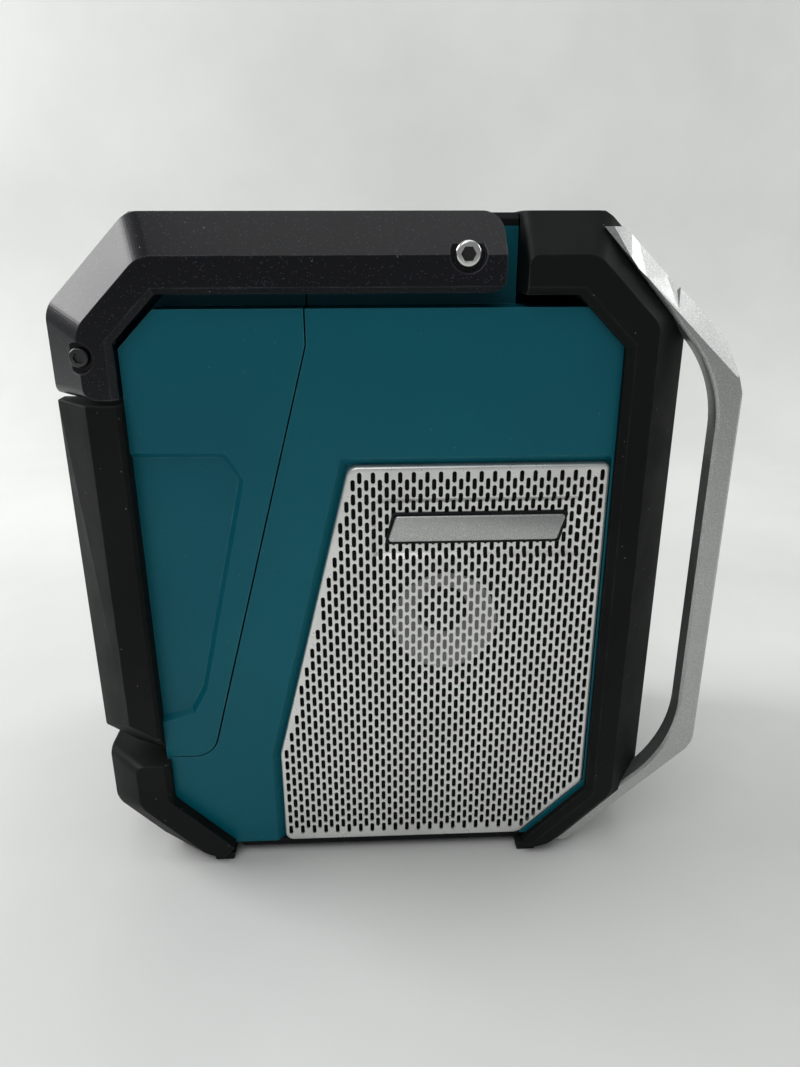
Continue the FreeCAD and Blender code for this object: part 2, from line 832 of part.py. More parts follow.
def core_front_outline():
    """The part of the housing that the front frame wraps round."""
    front = s.core_front
    return [
        (s.frame_toe - 20, s.housing_foot),
        (front - s.core_cut_low, s.housing_foot),
        (front, s.housing_foot + s.core_cut_low),
        (front, s.housing_top - s.core_cut_top),
        (front - s.core_cut_top, s.housing_top),
        (s.frame_toe - 20, s.housing_top),
    ]


def make_front_frame():
    reach = s.frame_reach
    outer = [
        (s.frame_end, top),
        (reach - s.top_cut, top),
        (reach, top - s.top_cut),
        (reach, s.frame_foot + s.low_cut),
        (reach - s.low_cut, s.frame_foot),
    ]
    inner = [
        (s.frame_toe, s.frame_toe_height),
        (s.frame_back, s.frame_toe_height + s.frame_back - s.frame_toe),
        (s.frame_back, s.frame_under - s.frame_inner_cut),
        (s.frame_back - s.frame_inner_cut, s.frame_under),
        (s.frame_end, s.frame_under),
    ]
    # solid form of the frame's outside, which the guards' ends are shaped to
    form = Piece("frame_form")
    form.pad(form.outline("side", outer + [(s.frame_end, s.frame_foot)]), half_width * 2, both=True)
    form.chamfer(s.facet, at_side(outer, -half_width))
    piece = Piece("front_frame")
    corners = outer + [(s.frame_toe, s.frame_foot)] + inner
    piece.pad(piece.outline("side", corners), half_width * 2, both=True)
    for side in (-half_width, half_width):
        piece.chamfer(s.facet, at_side(outer, side))
        piece.chamfer(s.bevel, at_side(inner, side))
    piece.cut(piece.outline("side", core_front_outline()), flank * 2, both=True)
    window = [
        (-s.window_half, s.window_foot),
        (s.window_half, s.window_foot),
        (s.window_half, s.window_top),
        (-s.window_half, s.window_top),
    ]
    piece.cut(piece.outline("front", window, reach), s.frame_reach - s.core_front)
    ring = [(reach, a, b) for a, b in window + window[:1]]
    piece.chamfer(s.bevel, ring)
    keep("front_frame", piece.body)
    return form.body


def make_guards(frame_form):
    reach = s.guard_reach
    inner_x = reach - s.guard_bar
    facet_top = s.frame_reach + top - s.top_cut      # X + Z along the frame's upper slant
    facet_low = s.frame_reach - s.frame_foot - s.low_cut
    bend_top = facet_top - s.facet - inner_x
    bend_low = inner_x - facet_low + s.facet - s.guard_low_ease
    outer = [
        (facet_top - s.guard_top, s.guard_top),
        (reach - s.guard_back, facet_top - reach + s.guard_out),
        (reach, facet_top - reach - s.guard_in),
        (reach, reach - facet_low + s.guard_out),
        (reach - s.guard_low_back, reach - facet_low + s.guard_low_out),
        (facet_low - s.guard_back, s.frame_foot),
    ]
    inner = [
        (facet_low - s.guard_low_root, s.frame_foot),
        (inner_x, bend_low),
        (inner_x, bend_top),
        (facet_top - s.guard_top - s.guard_root, s.guard_top),
    ]
    blank = Piece("guard_blank")
    inner_face = s.guard_side - s.guard_thick
    blank.pad(blank.outline("side", outer + inner, inner_face), s.guard_thick)
    sweep = [[(x, -s.guard_side, z), (x, -inner_face, z)] for x, z in inner[1:3]]
    blank.fillet(s.guard_sweep, *sweep)
    soft = [[(x, -s.guard_side, z), (x, -inner_face, z)] for x, z in (outer[1], outer[2])]
    blank.fillet(s.corner_round, *soft)
    for side in (-s.guard_side, -inner_face):
        blank.chamfer(s.guard_edge, at_side(outer[2:4], side), at_side(inner[1:3], side))
    guard = combine("Cut", "guard_right", blank.body, frame_form)
    keep_pair("guard", guard)


def make_rear_bars():
    back = -s.rear_reach
    face = -s.rear_wall_face
    corners = [
        (face, s.bar_foot),
        (back + s.bar_cut, s.bar_foot),
        (back, s.bar_foot + s.bar_cut_rise),
        (back, s.bar_top),
        (face, s.bar_top),
    ]
    piece = Piece("rear_bar")
    inner = s.shoulder_half
    piece.pad(piece.outline("side", corners, inner), half_width - inner)
    piece.chamfer(s.facet, at_side(corners[1:4], -half_width))
    piece.chamfer(s.bevel_bar, at_side([corners[4], corners[0]], -half_width))
    keep_pair("rear_bar", piece.body)


def make_rear_bumper():
    back = -s.rear_reach
    inner_x = s.bumper_lap - s.rear_wall_face
    outer = [
        (back, s.bumper_top),
        (back, s.frame_foot + s.low_cut),
        (back + s.low_cut, s.frame_foot),
    ]
    toe = -s.bumper_toe
    inner = [
        (toe - s.toe_heel, s.frame_foot),
        (toe, s.frame_foot + s.toe_heel),
        (toe - s.toe_step, s.frame_foot + s.toe_heel + s.toe_step),
        (inner_x, s.frame_foot + s.toe_heel + toe - inner_x),
        (inner_x, s.bumper_top),
    ]
    piece = Piece("rear_bumper")
    piece.pad(piece.outline("side", outer + inner), half_width * 2, both=True)
    for side in (-half_width, half_width):
        piece.chamfer(s.facet, at_side(outer, side))
        piece.chamfer(s.bevel_fine, at_side(inner[2:5], side))
    face = -s.rear_wall_face
    core = [
        (toe + 10, s.housing_foot),
        (face + s.rear_low_cut, s.housing_foot),
        (face, s.housing_foot + s.rear_low_cut),
        (face, s.bumper_top + 5),
        (toe + 10, s.bumper_top + 5),
    ]
    piece.cut(piece.outline("side", core), flank * 2, both=True)
    keep("rear_bumper", piece.body)


def make_feet():
    members = []
    for index, (x, direction) in enumerate(
            ((s.front_foot, 1), (s.front_foot, -1), (-s.rear_foot, 1), (-s.rear_foot, -1))):
        piece = Piece("foot_%d" % (index + 1))
        inner = s.foot_side - s.foot_width / 2
        at = inner if direction > 0 else -inner
        low, high = x - s.foot_length / 2, x + s.foot_length / 2
        corners = [(low + s.foot_draft, 0), (high - s.foot_draft, 0), (high, s.frame_foot),
                   (low, s.frame_foot)]
        piece.pad(piece.outline("side", corners, at), s.foot_width, back=direction < 0)
        members.append(piece.body)
    group("rubber_feet", *members)


# handle: two arms, a grip across the back, bushes and screws

def make_handle_arms():
    back = -s.rear_reach
    outer = [
        (back, s.arm_foot),
        (back, top - s.top_cut),
        (back + s.top_cut, top),
        (s.arm_ahead, top),
    ]
    inner = [
        (s.arm_ahead, s.arm_under),
        (-s.arm_back + s.arm_inner_cut, s.arm_under),
        (-s.arm_back, s.arm_under - s.arm_inner_cut),
        (-s.arm_back, s.arm_foot),
    ]
    piece = Piece("handle_arm")
    face = half_width
    piece.pad(piece.outline("side", outer + inner, s.arm_inner), face - s.arm_inner)
    piece.chamfer(s.facet, at_side(outer, -face))
    piece.chamfer(s.bevel_fine, at_side(inner, -face))
    piece.round_off(outer[3], s.arm_end_round, 1, face)
    piece.round_off(inner[0], s.arm_low_round, -1, face)
    pivot = (s.pivot_ahead, s.pivot_height)
    sink = piece.circle("side", pivot, s.pivot_sink_radius, face)
    piece.cut(sink, s.pivot_sink)
    bore = piece.circle("side", pivot, s.pivot_shank + s.bush_wall + s.run * 2, face)
    piece.cut(bore, face - s.arm_inner)
    screw = (-s.grip_screw_back, s.grip_screw_height)
    piece.cut(piece.circle("side", screw, s.grip_screw_sink, face), s.pivot_sink)
    piece.cut(piece.circle("side", screw, s.grip_screw_bore, face), face - s.arm_inner)
    keep_pair("handle_arm", piece.body)


def make_handle_grip():
    back = -s.rear_reach
    corners = [
        (back, s.grip_foot),
        (-s.grip_front, s.grip_foot),
        (-s.grip_front, s.grip_top),
        (back, s.grip_top),
    ]
    piece = Piece("handle_grip")
    piece.pad(piece.outline("side", corners), s.arm_inner * 2, both=True)
    piece.fillet(s.grip_round, *across(corners, s.arm_inner))
    screw = piece.circle("side", (-s.grip_screw_back, s.grip_screw_height), s.grip_screw_bore)
    piece.cut(screw, s.arm_inner * 2, both=True)
    keep("handle_grip", piece.body)


def make_pivots():
    bush = Piece("pivot_bush")
    outer = s.pivot_shank + s.bush_wall + s.run
    floor = half_width - s.pivot_sink
    reach = floor - s.shoulder_half - s.slip
    bore = s.pivot_shank + s.run
    bush.turn([(bore, 0), (outer, 0), (outer, reach - s.slip), (bore, reach - s.slip)])
    bush.place("side", s.pivot_ahead, -(s.shoulder_half + s.slip), s.pivot_height)
    keep_pair("pivot_bush", bush.body)

    bolt = Piece("pivot_bolt")
    start = s.shoulder_half - s.pivot_bite
    seat = floor - start
    head = seat + s.pivot_sink - s.head_below
    bolt.turn([
        (0, 0),
        (s.pivot_shank, 0),
        (s.pivot_shank, seat),
        (s.pivot_head, seat),
        (s.pivot_head, head - s.head_soft),
        (s.pivot_head - s.head_soft, head),
        (s.socket_radius, head),
        (s.socket_radius, head - s.socket_depth),
        (0, head - s.socket_depth),
    ])
    bolt.place("side", s.pivot_ahead, -start, s.pivot_height)
    keep_pair("pivot_bolt", bolt.body)

    members = []
    for direction in (1, -1):
        screw = Piece("grip_screw_%s" % ("right" if direction > 0 else "left"))
        length = floor - s.arm_inner + s.grip_screw_bite
        screw.turn([
            (0, 0),
            (s.grip_screw_shank, 0),
            (s.grip_screw_shank, length),
            (s.grip_screw_head, length),
            (s.grip_screw_head, length + s.grip_screw_rise),
            (s.grip_screw_socket, length + s.grip_screw_rise),
            (s.grip_screw_socket, length + s.grip_screw_floor),
            (0, length + s.grip_screw_floor),
        ])
        away = floor - length
        screw.place("side", -s.grip_screw_back, -away, s.grip_screw_height)
        body = screw.body
        if direction < 0:
            body = doc.addObject("Part::Mirroring", "grip_screw_mirror")
            body.Source = screw.body
            body.Normal = FreeCAD.Vector(0, 1, 0)
            doc.recompute()
        members.append(body)
    group("grip_screws", *members)


# grille and loudspeaker on each flank

def make_grille():
    piece = Piece("speaker_grille")
    floor = flank - s.grille_depth
    skin = s.grille_sheet
    corners = grille_outline(0)
    face = flank + s.grille_proud
    piece.pad(piece.outline("side", corners, floor), face - floor)
    soft = [[(x, -floor, z), (x, -face, z)] for x, z in (corners[3], corners[4])]
    piece.fillet(s.grille_round, *soft)
    soft = [[(x, -floor, z), (x, -face, z)] for x, z in (corners[1], corners[2])]
    piece.fillet(s.grille_low_round, *soft)
    piece.fillet(s.grille_soft, at_side(corners + corners[:1], -face))
    inside = grille_outline(-skin)
    piece.cut(piece.outline("side", inside, floor), face - floor - skin, back=True)
    low, high = (-s.plate_back, s.plate_front), (s.plate_foot, s.plate_top)
    backing = [(low[0], high[0]), (low[1], high[0]), (low[1], high[1]), (low[0], high[1])]
    thick = s.plate_depth
    piece.pad(piece.outline("side", backing, face - skin - thick), thick)
    inset = [(low[0] + skin, high[0] + skin), (low[1] - skin, high[0] + skin),
             (low[1] - skin, high[1] - skin), (low[0] + skin, high[1] - skin)]
    piece.cut(piece.outline("side", inset, face), thick)
    slots = piece.sketch("side", face)
    column = 0
    x = -s.grille_back.number + s.slot_step.number
    while x < s.grille_front.number - s.slot_step.number * 0.8:
        z = s.grille_foot.number + s.slot_row.number * (0.6 if column % 2 else 1.1)
        while z < s.grille_top.number - s.slot_row.number * 0.7:
            if slot_fits(x, z):
                add_slot(piece, slots, x, z)
            z += s.slot_row.number
        x += s.slot_step.number
        column += 1
    piece.cut(slots, s.grille_depth)
    keep_pair("speaker_grille", piece.body)


def slot_fits(x, z):
    """Keep slots inside the slanted edges and out of the pressed field's walls."""
    edge = s.slot_step.number * 0.55
    rise = max(0.0, z - s.slot_height.number / 2 - s.grille_bend.number)
    span = s.grille_top.number - s.grille_bend.number
    rise_top = max(0.0, z + s.slot_height.number / 2 - s.grille_bend.number)
    lean = (s.grille_back.number - s.grille_top_back.number) / span
    left = -s.grille_back.number + max(rise, rise_top) * lean
    if x < left + edge:
        return False
    low = z - s.slot_height.number / 2 - s.grille_foot.number
    if low < x - (s.grille_front.number - s.grille_cut.number) + edge:
        return False
    reach_z = s.slot_height.number / 2 + 0.8
    near_x = s.plate_back.number + 3, s.plate_front.number + 3
    inside = -near_x[0] < x < near_x[1]
    if inside and s.plate_foot.number - reach_z < z < s.plate_top.number + reach_z:
        return False
    return True


def add_slot(piece, slots, x, z):
    half, tall = s.slot_width.number / 2, s.slot_height.number / 2
    spots = [(x - half, z - tall), (x + half, z - tall), (x + half, z + tall), (x - half, z + tall)]
    for index, (a, b) in enumerate(spots):
        c, d = spots[(index + 1) % 4]
        slots.addGeometry(
            Part.LineSegment(FreeCAD.Vector(a, b, 0), FreeCAD.Vector(c, d, 0)), False)


def make_speaker():
    floor = flank - s.flank_wall
    where = (s.speaker_ahead, s.speaker_height)

    def set_in(piece, out):
        piece.place("side", where[0], -out, where[1])
        keep_pair(piece.label, piece.body)

    inner = s.cone_radius + s.surround_width
    deep = s.speaker_seat
    frame = Piece("speaker_frame")
    frame.turn([
        (s.basket_floor, 0),
        (s.basket_floor + s.basket_foot, 0),
        (inner + s.flange_thick, deep),
        (s.speaker_flange, deep),
        (s.speaker_flange, deep + s.flange_thick),
        (inner, deep + s.flange_thick),
        (inner, deep),
        (s.basket_floor + s.flange_thick, s.flange_thick),
        (s.basket_floor, s.flange_thick),
    ])
    seat = floor - (deep + s.flange_thick)
    set_in(frame, seat)

    magnet = Piece("speaker_magnet")
    magnet.turn([(0, 0), (s.magnet_radius, 0), (s.magnet_radius, s.magnet_thick), (0, s.magnet_thick)])
    set_in(magnet, seat - s.magnet_thick)

    cone = Piece("speaker_cone")
    rim = deep + 1
    lip = rim + s.cone_lip
    cone.turn([
        (s.cap_radius, s.cone_foot),
        (s.cap_radius + s.cone_skin, s.cone_foot),
        (s.cone_radius, rim),
        (s.cone_radius, lip),
        (s.cone_radius - s.cone_skin, lip),
        (s.cap_radius, s.cone_foot + 1.2),
    ])
    set_in(cone, seat)

    surround = Piece("speaker_surround")
    edge = s.cone_radius
    roll = s.surround_rise
    surround.turn([
        (edge, rim),
        (inner, rim),
        (inner, rim + roll / 3),
        (inner - 0.9, rim + roll * 0.8),
        (inner - 2.3, rim + roll),
        (edge + 0.8, rim + roll * 0.8),
        (edge, rim + roll / 3),
    ])
    set_in(surround, seat)

    cap = Piece("dust_cap")
    crown = s.cap_rise
    skirt = s.cone_foot + 1
    cap.turn([
        (0, s.cone_foot),
        (s.cap_radius, s.cone_foot),
        (s.cap_radius, skirt),
        (s.cap_radius * 0.8, skirt + crown * 0.45),
        (s.cap_radius * 0.45, skirt + crown * 0.85),
        (0, skirt + crown),
    ])
    set_in(cap, seat)


# battery door, tray and terminals

def make_battery_bay():
    back = -s.rear_wall_face
    outer_face = back - s.door_proud
    inner_face = outer_face + s.door_thick
    door = Piece("battery_door")
    slim = s.door_half - s.ear_width - s.slip
    clear = s.hinge_height + s.knuckle + s.slip
    corners = [
        (-slim, s.door_foot),
        (slim, s.door_foot),
        (slim, clear),
        (s.door_half, clear),
        (s.door_half, s.door_top),
        (-s.door_half, s.door_top),
        (-s.door_half, clear),
        (-slim, clear),
    ]
    door.pad(door.outline("front", corners, outer_face), s.door_thick)
    top_corners = [[(outer_face, a, s.door_top), (inner_face, a, s.door_top)]
                   for a in (-s.door_half, s.door_half)]
    door.fillet(s.door_round, *top_corners)
    rim = [(outer_face, -s.door_half, clear), (outer_face, -s.door_half, s.door_top),
           (outer_face, s.door_half, s.door_top), (outer_face, s.door_half, clear)]
    door.chamfer(s.door_bevel, rim)
    knuckle = door.circle("side", (-s.hinge_back, s.hinge_height), s.knuckle)
    door.pad(knuckle, slim * 2, both=True)
    pin_hole = door.circle("side", (-s.hinge_back, s.hinge_height), s.hinge_pin + s.run)
    door.cut(pin_hole, slim * 2 + 2, both=True)
    # ribs that stiffen the door and a scoop for the fingers
    for level in range(DOOR_RIBS):
        height = s.rib_foot + level * s.rib_step
        rib = [(-s.rib_half, height), (s.rib_half, height),
               (s.rib_half, height + s.rib_tall), (-s.rib_half, height + s.rib_tall)]
        door.pad(door.outline("front", rib, outer_face - s.rib_proud), s.rib_proud + s.rib_root)
    scoop_foot, scoop_top = s.door_top - s.scoop_foot, s.door_top - s.scoop_top
    scoop = [(-s.scoop_half, scoop_foot), (s.scoop_half, scoop_foot),
             (s.scoop_top_half, scoop_top), (-s.scoop_top_half, scoop_top)]
    door.cut(door.outline("front", scoop, outer_face), s.scoop_depth, back=True)
    keep("battery_door", door.body)

    catch = Piece("door_catch")
    low, high = s.door_top - s.catch_foot, s.door_top - s.catch_top
    tab = [(-s.catch_half, low), (s.catch_half, low), (s.catch_half, high), (-s.catch_half, high)]
    catch.pad(catch.outline("front", tab, inner_face), s.catch_thick)
    keep("door_catch", catch.body)

    pin = Piece("door_hinge_pin")
    pin.pad(pin.circle("side", (-s.hinge_back, s.hinge_height), s.hinge_pin), s.door_half * 2, both=True)
    keep("door_hinge_pin", pin.body)

    tray = Piece("battery_tray")
    face = back + s.wall
    end = face + s.tray_depth
    wall = s.wall
    rim, rise = s.tray_half + s.tray_flange, s.tray_flange_rise
    flange = [(-rim, s.tray_foot - rise), (rim, s.tray_foot - rise),
              (rim, s.tray_top + rise), (-rim, s.tray_top + rise)]
    tray.pad(tray.outline("front", flange, face), s.tray_flange_thick)
    shell = [(-(s.tray_half + wall), s.tray_foot - wall), (s.tray_half + wall, s.tray_foot - wall),
             (s.tray_half + wall, s.tray_top + wall), (-(s.tray_half + wall), s.tray_top + wall)]
    tray.pad(tray.outline("front", shell, face), s.tray_depth + wall)
    hollow = [(-s.tray_half, s.tray_foot), (s.tray_half, s.tray_foot),
              (s.tray_half, s.tray_top), (-s.tray_half, s.tray_top)]
    tray.cut(tray.outline("front", hollow, end), s.tray_depth)
    keep("battery_tray", tray.body)

    terminals = Piece("battery_terminals")
    half, lift = s.terminal_half, s.tray_foot + s.terminal_tall
    body = [(-half, s.tray_foot), (half, s.tray_foot), (half, lift), (-half, lift)]
    terminals.pad(terminals.outline("front", body, end - s.terminal_deep), s.terminal_deep)
    for side in BLADE_SIDES:
        blade = [(side - s.blade_half, lift), (side + s.blade_half, lift),
                 (side + s.blade_half, lift + s.blade_tall), (side - s.blade_half, lift + s.blade_tall)]
        terminals.pad(terminals.outline("front", blade, end - s.blade_back), s.blade_deep)
    keep("battery_terminals", terminals.body)


# front panel and its controls

def face_box(label, x_range, y_range, z_range):
    """A block seen from the front."""
    piece = Piece(label)
    corners = [(y_range[0], z_range[0]), (y_range[1], z_range[0]),
               (y_range[1], z_range[1]), (y_range[0], z_range[1])]
    piece.pad(piece.outline("front", corners, x_range[0]), as_size(x_range[1]) - x_range[0])
    return piece


def button_places():
    """Names and middles of the push buttons, across and up."""
    places = {
        "power_button": (-s.preset_step * 1.5, s.upper_height),
        "mode_button": (-s.preset_step * 0.5, s.upper_height),
        "tune_down_button": (s.preset_step * 0.5, s.upper_height),
        "tune_up_button": (s.preset_step * 1.5, s.upper_height),
    }
    for index in range(PRESETS):
        middle = s.preset_step * (index - (PRESETS - 1) / 2)
        places["preset_button_%d" % (index + 1)] = (middle, s.preset_height)
    return places


def lens_outline(grow):
    """The display lens seen from the front, grown by a clearance."""
    half = s.lens_half + grow
    low, high = s.lens_foot - grow, s.lens_top + grow
    return [(-half, low), (half, low), (half, high), (-half, high)]


def make_front_panel():
    face = s.frame_reach - s.panel_step
    back = s.core_front
    panel = face_box("front_panel", (back, face),
                     (-(s.window_half - s.slip), s.window_half - s.slip),
                     (s.window_foot + s.slip, s.window_top - s.slip))
    panel.cut(panel.outline("front", lens_outline(s.lens_slip), face), s.lens_thick)
    panel.cut(panel.outline("front", lens_outline(-s.lens_rim), face), face - back)
    holes = panel.sketch("front", face)
    for middle, height in button_places().values():
        wide, tall = s.button_width / 2 + s.slip, s.button_tall / 2 + s.slip
        corners = [(middle - wide, height - tall), (middle + wide, height - tall),
                   (middle + wide, height + tall), (middle - wide, height + tall)]
        panel.outline("front", corners, sketch=holes)
    panel.circle("front", (0, s.knob_height), s.shaft_hole, sketch=holes)
    socket_height = (s.flap_foot + s.flap_top) / 2
    for side in (-s.socket_side, s.socket_side):
        panel.circle("front", (side, socket_height), s.socket_hole, sketch=holes)
    panel.cut(holes, face - back)
    posts = panel.sketch("front", back)
    for middle in (-s.post_side, s.post_side):
        for height in (s.knob_height + s.post_above, s.lens_top - s.post_below):
            panel.circle("front", (middle, height), s.post_radius, sketch=posts)
    panel.pad(posts, s.board_gap, back=True)
    keep("front_panel", panel.body)

    glass = face_box("display_lens", (face - s.lens_thick, face), (-s.lens_half, s.lens_half),
                     (s.lens_foot, s.lens_top))
    keep("display_lens", glass.body)
    half = s.lens_half - s.screen_inset
    screen = face_box("display_module", (back - s.board_gap, back), (-half, half),
                      (s.lens_foot + s.screen_inset, s.lens_top - s.screen_inset))
    keep("display_module", screen.body)

    board_face = back - s.board_gap
    half = s.lens_half + s.board_past
    board = face_box("circuit_board", (board_face - s.board_thick, board_face), (-half, half),
                     (s.knob_height - s.board_below, s.lens_top + s.board_above))
    for middle, height in button_places().values():
        stem = board.circle("front", (middle, height), s.stem_radius, board_face)
        board.pad(stem, s.board_gap - s.button_travel * 2 - s.stem_gap)
    keep("circuit_board", board.body)

    for label, (middle, height) in button_places().items():
        wide, tall = s.button_width / 2, s.button_tall / 2
        flange = back - s.skirt_gap
        button = face_box(label, (flange, face + s.button_proud), (middle - wide, middle + wide),
                          (height - tall, height + tall))
        tip = face + s.button_proud
        ring = [(tip, middle - wide, height - tall), (tip, middle + wide, height - tall),
                (tip, middle + wide, height + tall), (tip, middle - wide, height + tall),
                (tip, middle - wide, height - tall)]
        button.fillet(s.button_soft, ring)
        wide, tall = wide + s.skirt, tall + s.skirt
        skirt = [(middle - wide, height - tall), (middle + wide, height - tall),
                 (middle + wide, height + tall), (middle - wide, height + tall)]
        button.pad(button.outline("front", skirt, flange - s.skirt_thick), s.skirt_thick)
        keep(label, button.body)

    # tuning knob with finger flutes, on a shaft that turns in the encoder
    knob = Piece("tuning_knob")
    start = board_face + 1
    lift = face + s.knob_gap - start
    radius = s.knob_radius
    tip = lift + s.knob_depth
    knob.turn([
        (0, 0),
        (s.shaft_radius, 0),
        (s.shaft_radius, lift),
        (radius, lift),
        (radius - s.knob_taper, tip - s.knob_bevel),
        (radius - s.knob_rim, tip),
        (radius - s.knob_dish, tip),
        (radius - s.knob_dish - s.knob_dish_depth, tip - s.knob_dish_depth),
        (0, tip - s.knob_dish_depth),
    ])
    flutes = knob.sketch("plan", tip)
    for index in range(KNOB_FLUTES):
        angle = 2 * math.pi * index / KNOB_FLUTES
        away = radius + s.flute_out
        spot = (away * math.cos(angle), away * math.sin(angle))
        knob.circle("plan", spot, s.flute_radius, sketch=flutes)
    knob.cut(flutes, s.knob_depth - s.knob_rim)
    knob.place("front", start, 0, s.knob_height)
    keep("tuning_knob", knob.body)

    half = s.encoder_half
    encoder = face_box("knob_encoder", (board_face, back), (-half, half),
                       (s.knob_height - half, s.knob_height + half))
    encoder.cut(encoder.circle("front", (0, s.knob_height), s.shaft_radius + s.run, back), s.board_gap - s.knob_gap)
    keep("knob_encoder", encoder.body)

    sockets = (("aux_socket", -s.socket_side, s.aux_bore), ("dc_inlet", s.socket_side, s.dc_bore))
    for label, side, bore in sockets:
        socket = Piece(label)
        spot = (side, socket_height)
        seat = back - s.socket_deep
        mouth = face - 1
        socket.pad(socket.circle("front", spot, s.socket_body, seat), face - back + s.socket_rise)
        socket.cut(socket.circle("front", spot, bore, mouth), s.socket_bore_deep)
        socket.pad(socket.circle("front", spot, s.socket_flange, seat), s.flange_deep)
        socket.cut(socket.circle("front", spot, bore, mouth), s.socket_bore_deep)
        keep(label, socket.body)

    seat = face + s.flap_gap
    tip = seat + s.flap_thick
    flap = face_box("terminal_cover", (seat, tip), (-s.flap_half, s.flap_half),
                    (s.flap_foot, s.flap_top))
    corners = [[(seat, a, s.flap_top), (tip, a, s.flap_top)] for a in (-s.flap_half, s.flap_half)]
    flap.fillet(s.flap_round, *corners)
    low, high = s.flap_top - s.pull_foot, s.flap_top - s.pull_top
    pull = [(-s.pull_half, low), (s.pull_half, low), (s.pull_half, high), (-s.pull_half, high)]
    flap.pad(flap.outline("front", pull, tip), s.pull_proud)
    keep("terminal_cover", flap.body)


def make_antenna():
    rod = Piece("ferrite_antenna")
    ceiling = s.shoulder_top - s.wall
    height = ceiling - s.rod_gap - s.rod_radius
    rod.pad(rod.circle("side", (-s.rod_back, height), s.rod_radius), s.rod_length, both=True)
    keep("ferrite_antenna", rod.body)


make_main_housing()
make_rear_cover()
make_top_cover()
make_base_plate()
make_guards(make_front_frame())
make_rear_bars()
make_rear_bumper()
make_feet()
make_handle_arms()
make_handle_grip()
make_pivots()
make_grille()
make_speaker()
make_battery_bay()
make_front_panel()
make_antenna()

doc.recompute()
for item in doc.Objects:
    if set(item.State) & {"Invalid", "Error"}:
        raise RuntimeError("%s did not build" % item.Label)
for label, item in parts.items():
    if item.Shape.isNull() or not item.Shape.isValid():
        raise RuntimeError("%s has no sound shape" % label)

os.makedirs("parts", exist_ok=True)
for label, item in parts.items():
    item.Shape.exportStep("parts/%s.step" % label)
print("%d parts written" % len(parts))
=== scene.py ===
import json
import math

import bmesh
import bpy
from bpy.props import FloatProperty, FloatVectorProperty, IntProperty, PointerProperty
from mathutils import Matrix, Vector


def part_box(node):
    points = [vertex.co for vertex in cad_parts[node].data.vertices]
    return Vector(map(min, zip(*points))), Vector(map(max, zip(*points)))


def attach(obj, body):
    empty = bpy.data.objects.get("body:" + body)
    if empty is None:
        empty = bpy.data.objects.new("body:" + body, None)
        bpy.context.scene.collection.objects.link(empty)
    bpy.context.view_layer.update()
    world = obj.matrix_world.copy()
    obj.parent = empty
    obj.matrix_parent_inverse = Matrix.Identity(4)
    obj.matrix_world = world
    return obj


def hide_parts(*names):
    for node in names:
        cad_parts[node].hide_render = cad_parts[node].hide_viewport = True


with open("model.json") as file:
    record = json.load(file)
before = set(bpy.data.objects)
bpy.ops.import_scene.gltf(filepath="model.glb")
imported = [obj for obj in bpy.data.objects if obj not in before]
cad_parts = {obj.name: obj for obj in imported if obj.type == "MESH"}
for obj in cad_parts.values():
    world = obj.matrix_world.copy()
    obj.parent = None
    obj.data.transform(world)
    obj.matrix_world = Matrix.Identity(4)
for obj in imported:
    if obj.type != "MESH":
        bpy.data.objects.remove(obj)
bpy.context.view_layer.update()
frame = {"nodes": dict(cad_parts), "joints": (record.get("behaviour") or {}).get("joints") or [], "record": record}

bl_info = {
    "name": "Jobsite radio",
    "version": (1, 0, 0),
    "blender": (4, 5, 0),
    "location": "View3D > Sidebar > Radio",
    "description": "Finishes, grilles, plates and studio for a jobsite radio",
    "category": "Object",
}

MM = 0.001
ROOT = "chassis"
FINISH = "finish "
SIDES = {"right": -1, "left": 1}      # side of the middle plane, along Y
NEAR = 0.05 * MM                      # how close two places count as one


def edge(node, corner, axis):
    """One coordinate of a CAD node's box; corner 0 is the low one."""
    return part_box(node)[corner][axis]


def frame_joint(name):
    for joint in frame["joints"]:
        if joint["name"] == name:
            return joint
    raise RuntimeError("no joint named " + name)


def size(name, text, default):
    """A length property; its default is given in millimetres."""
    return FloatProperty(name=name, description=text, default=default * MM, subtype="DISTANCE",
                         unit="LENGTH", precision=5)


def colour(name, text, default):
    return FloatVectorProperty(name=name, description=text, default=default, subtype="COLOR",
                               size=3, min=0, max=1)


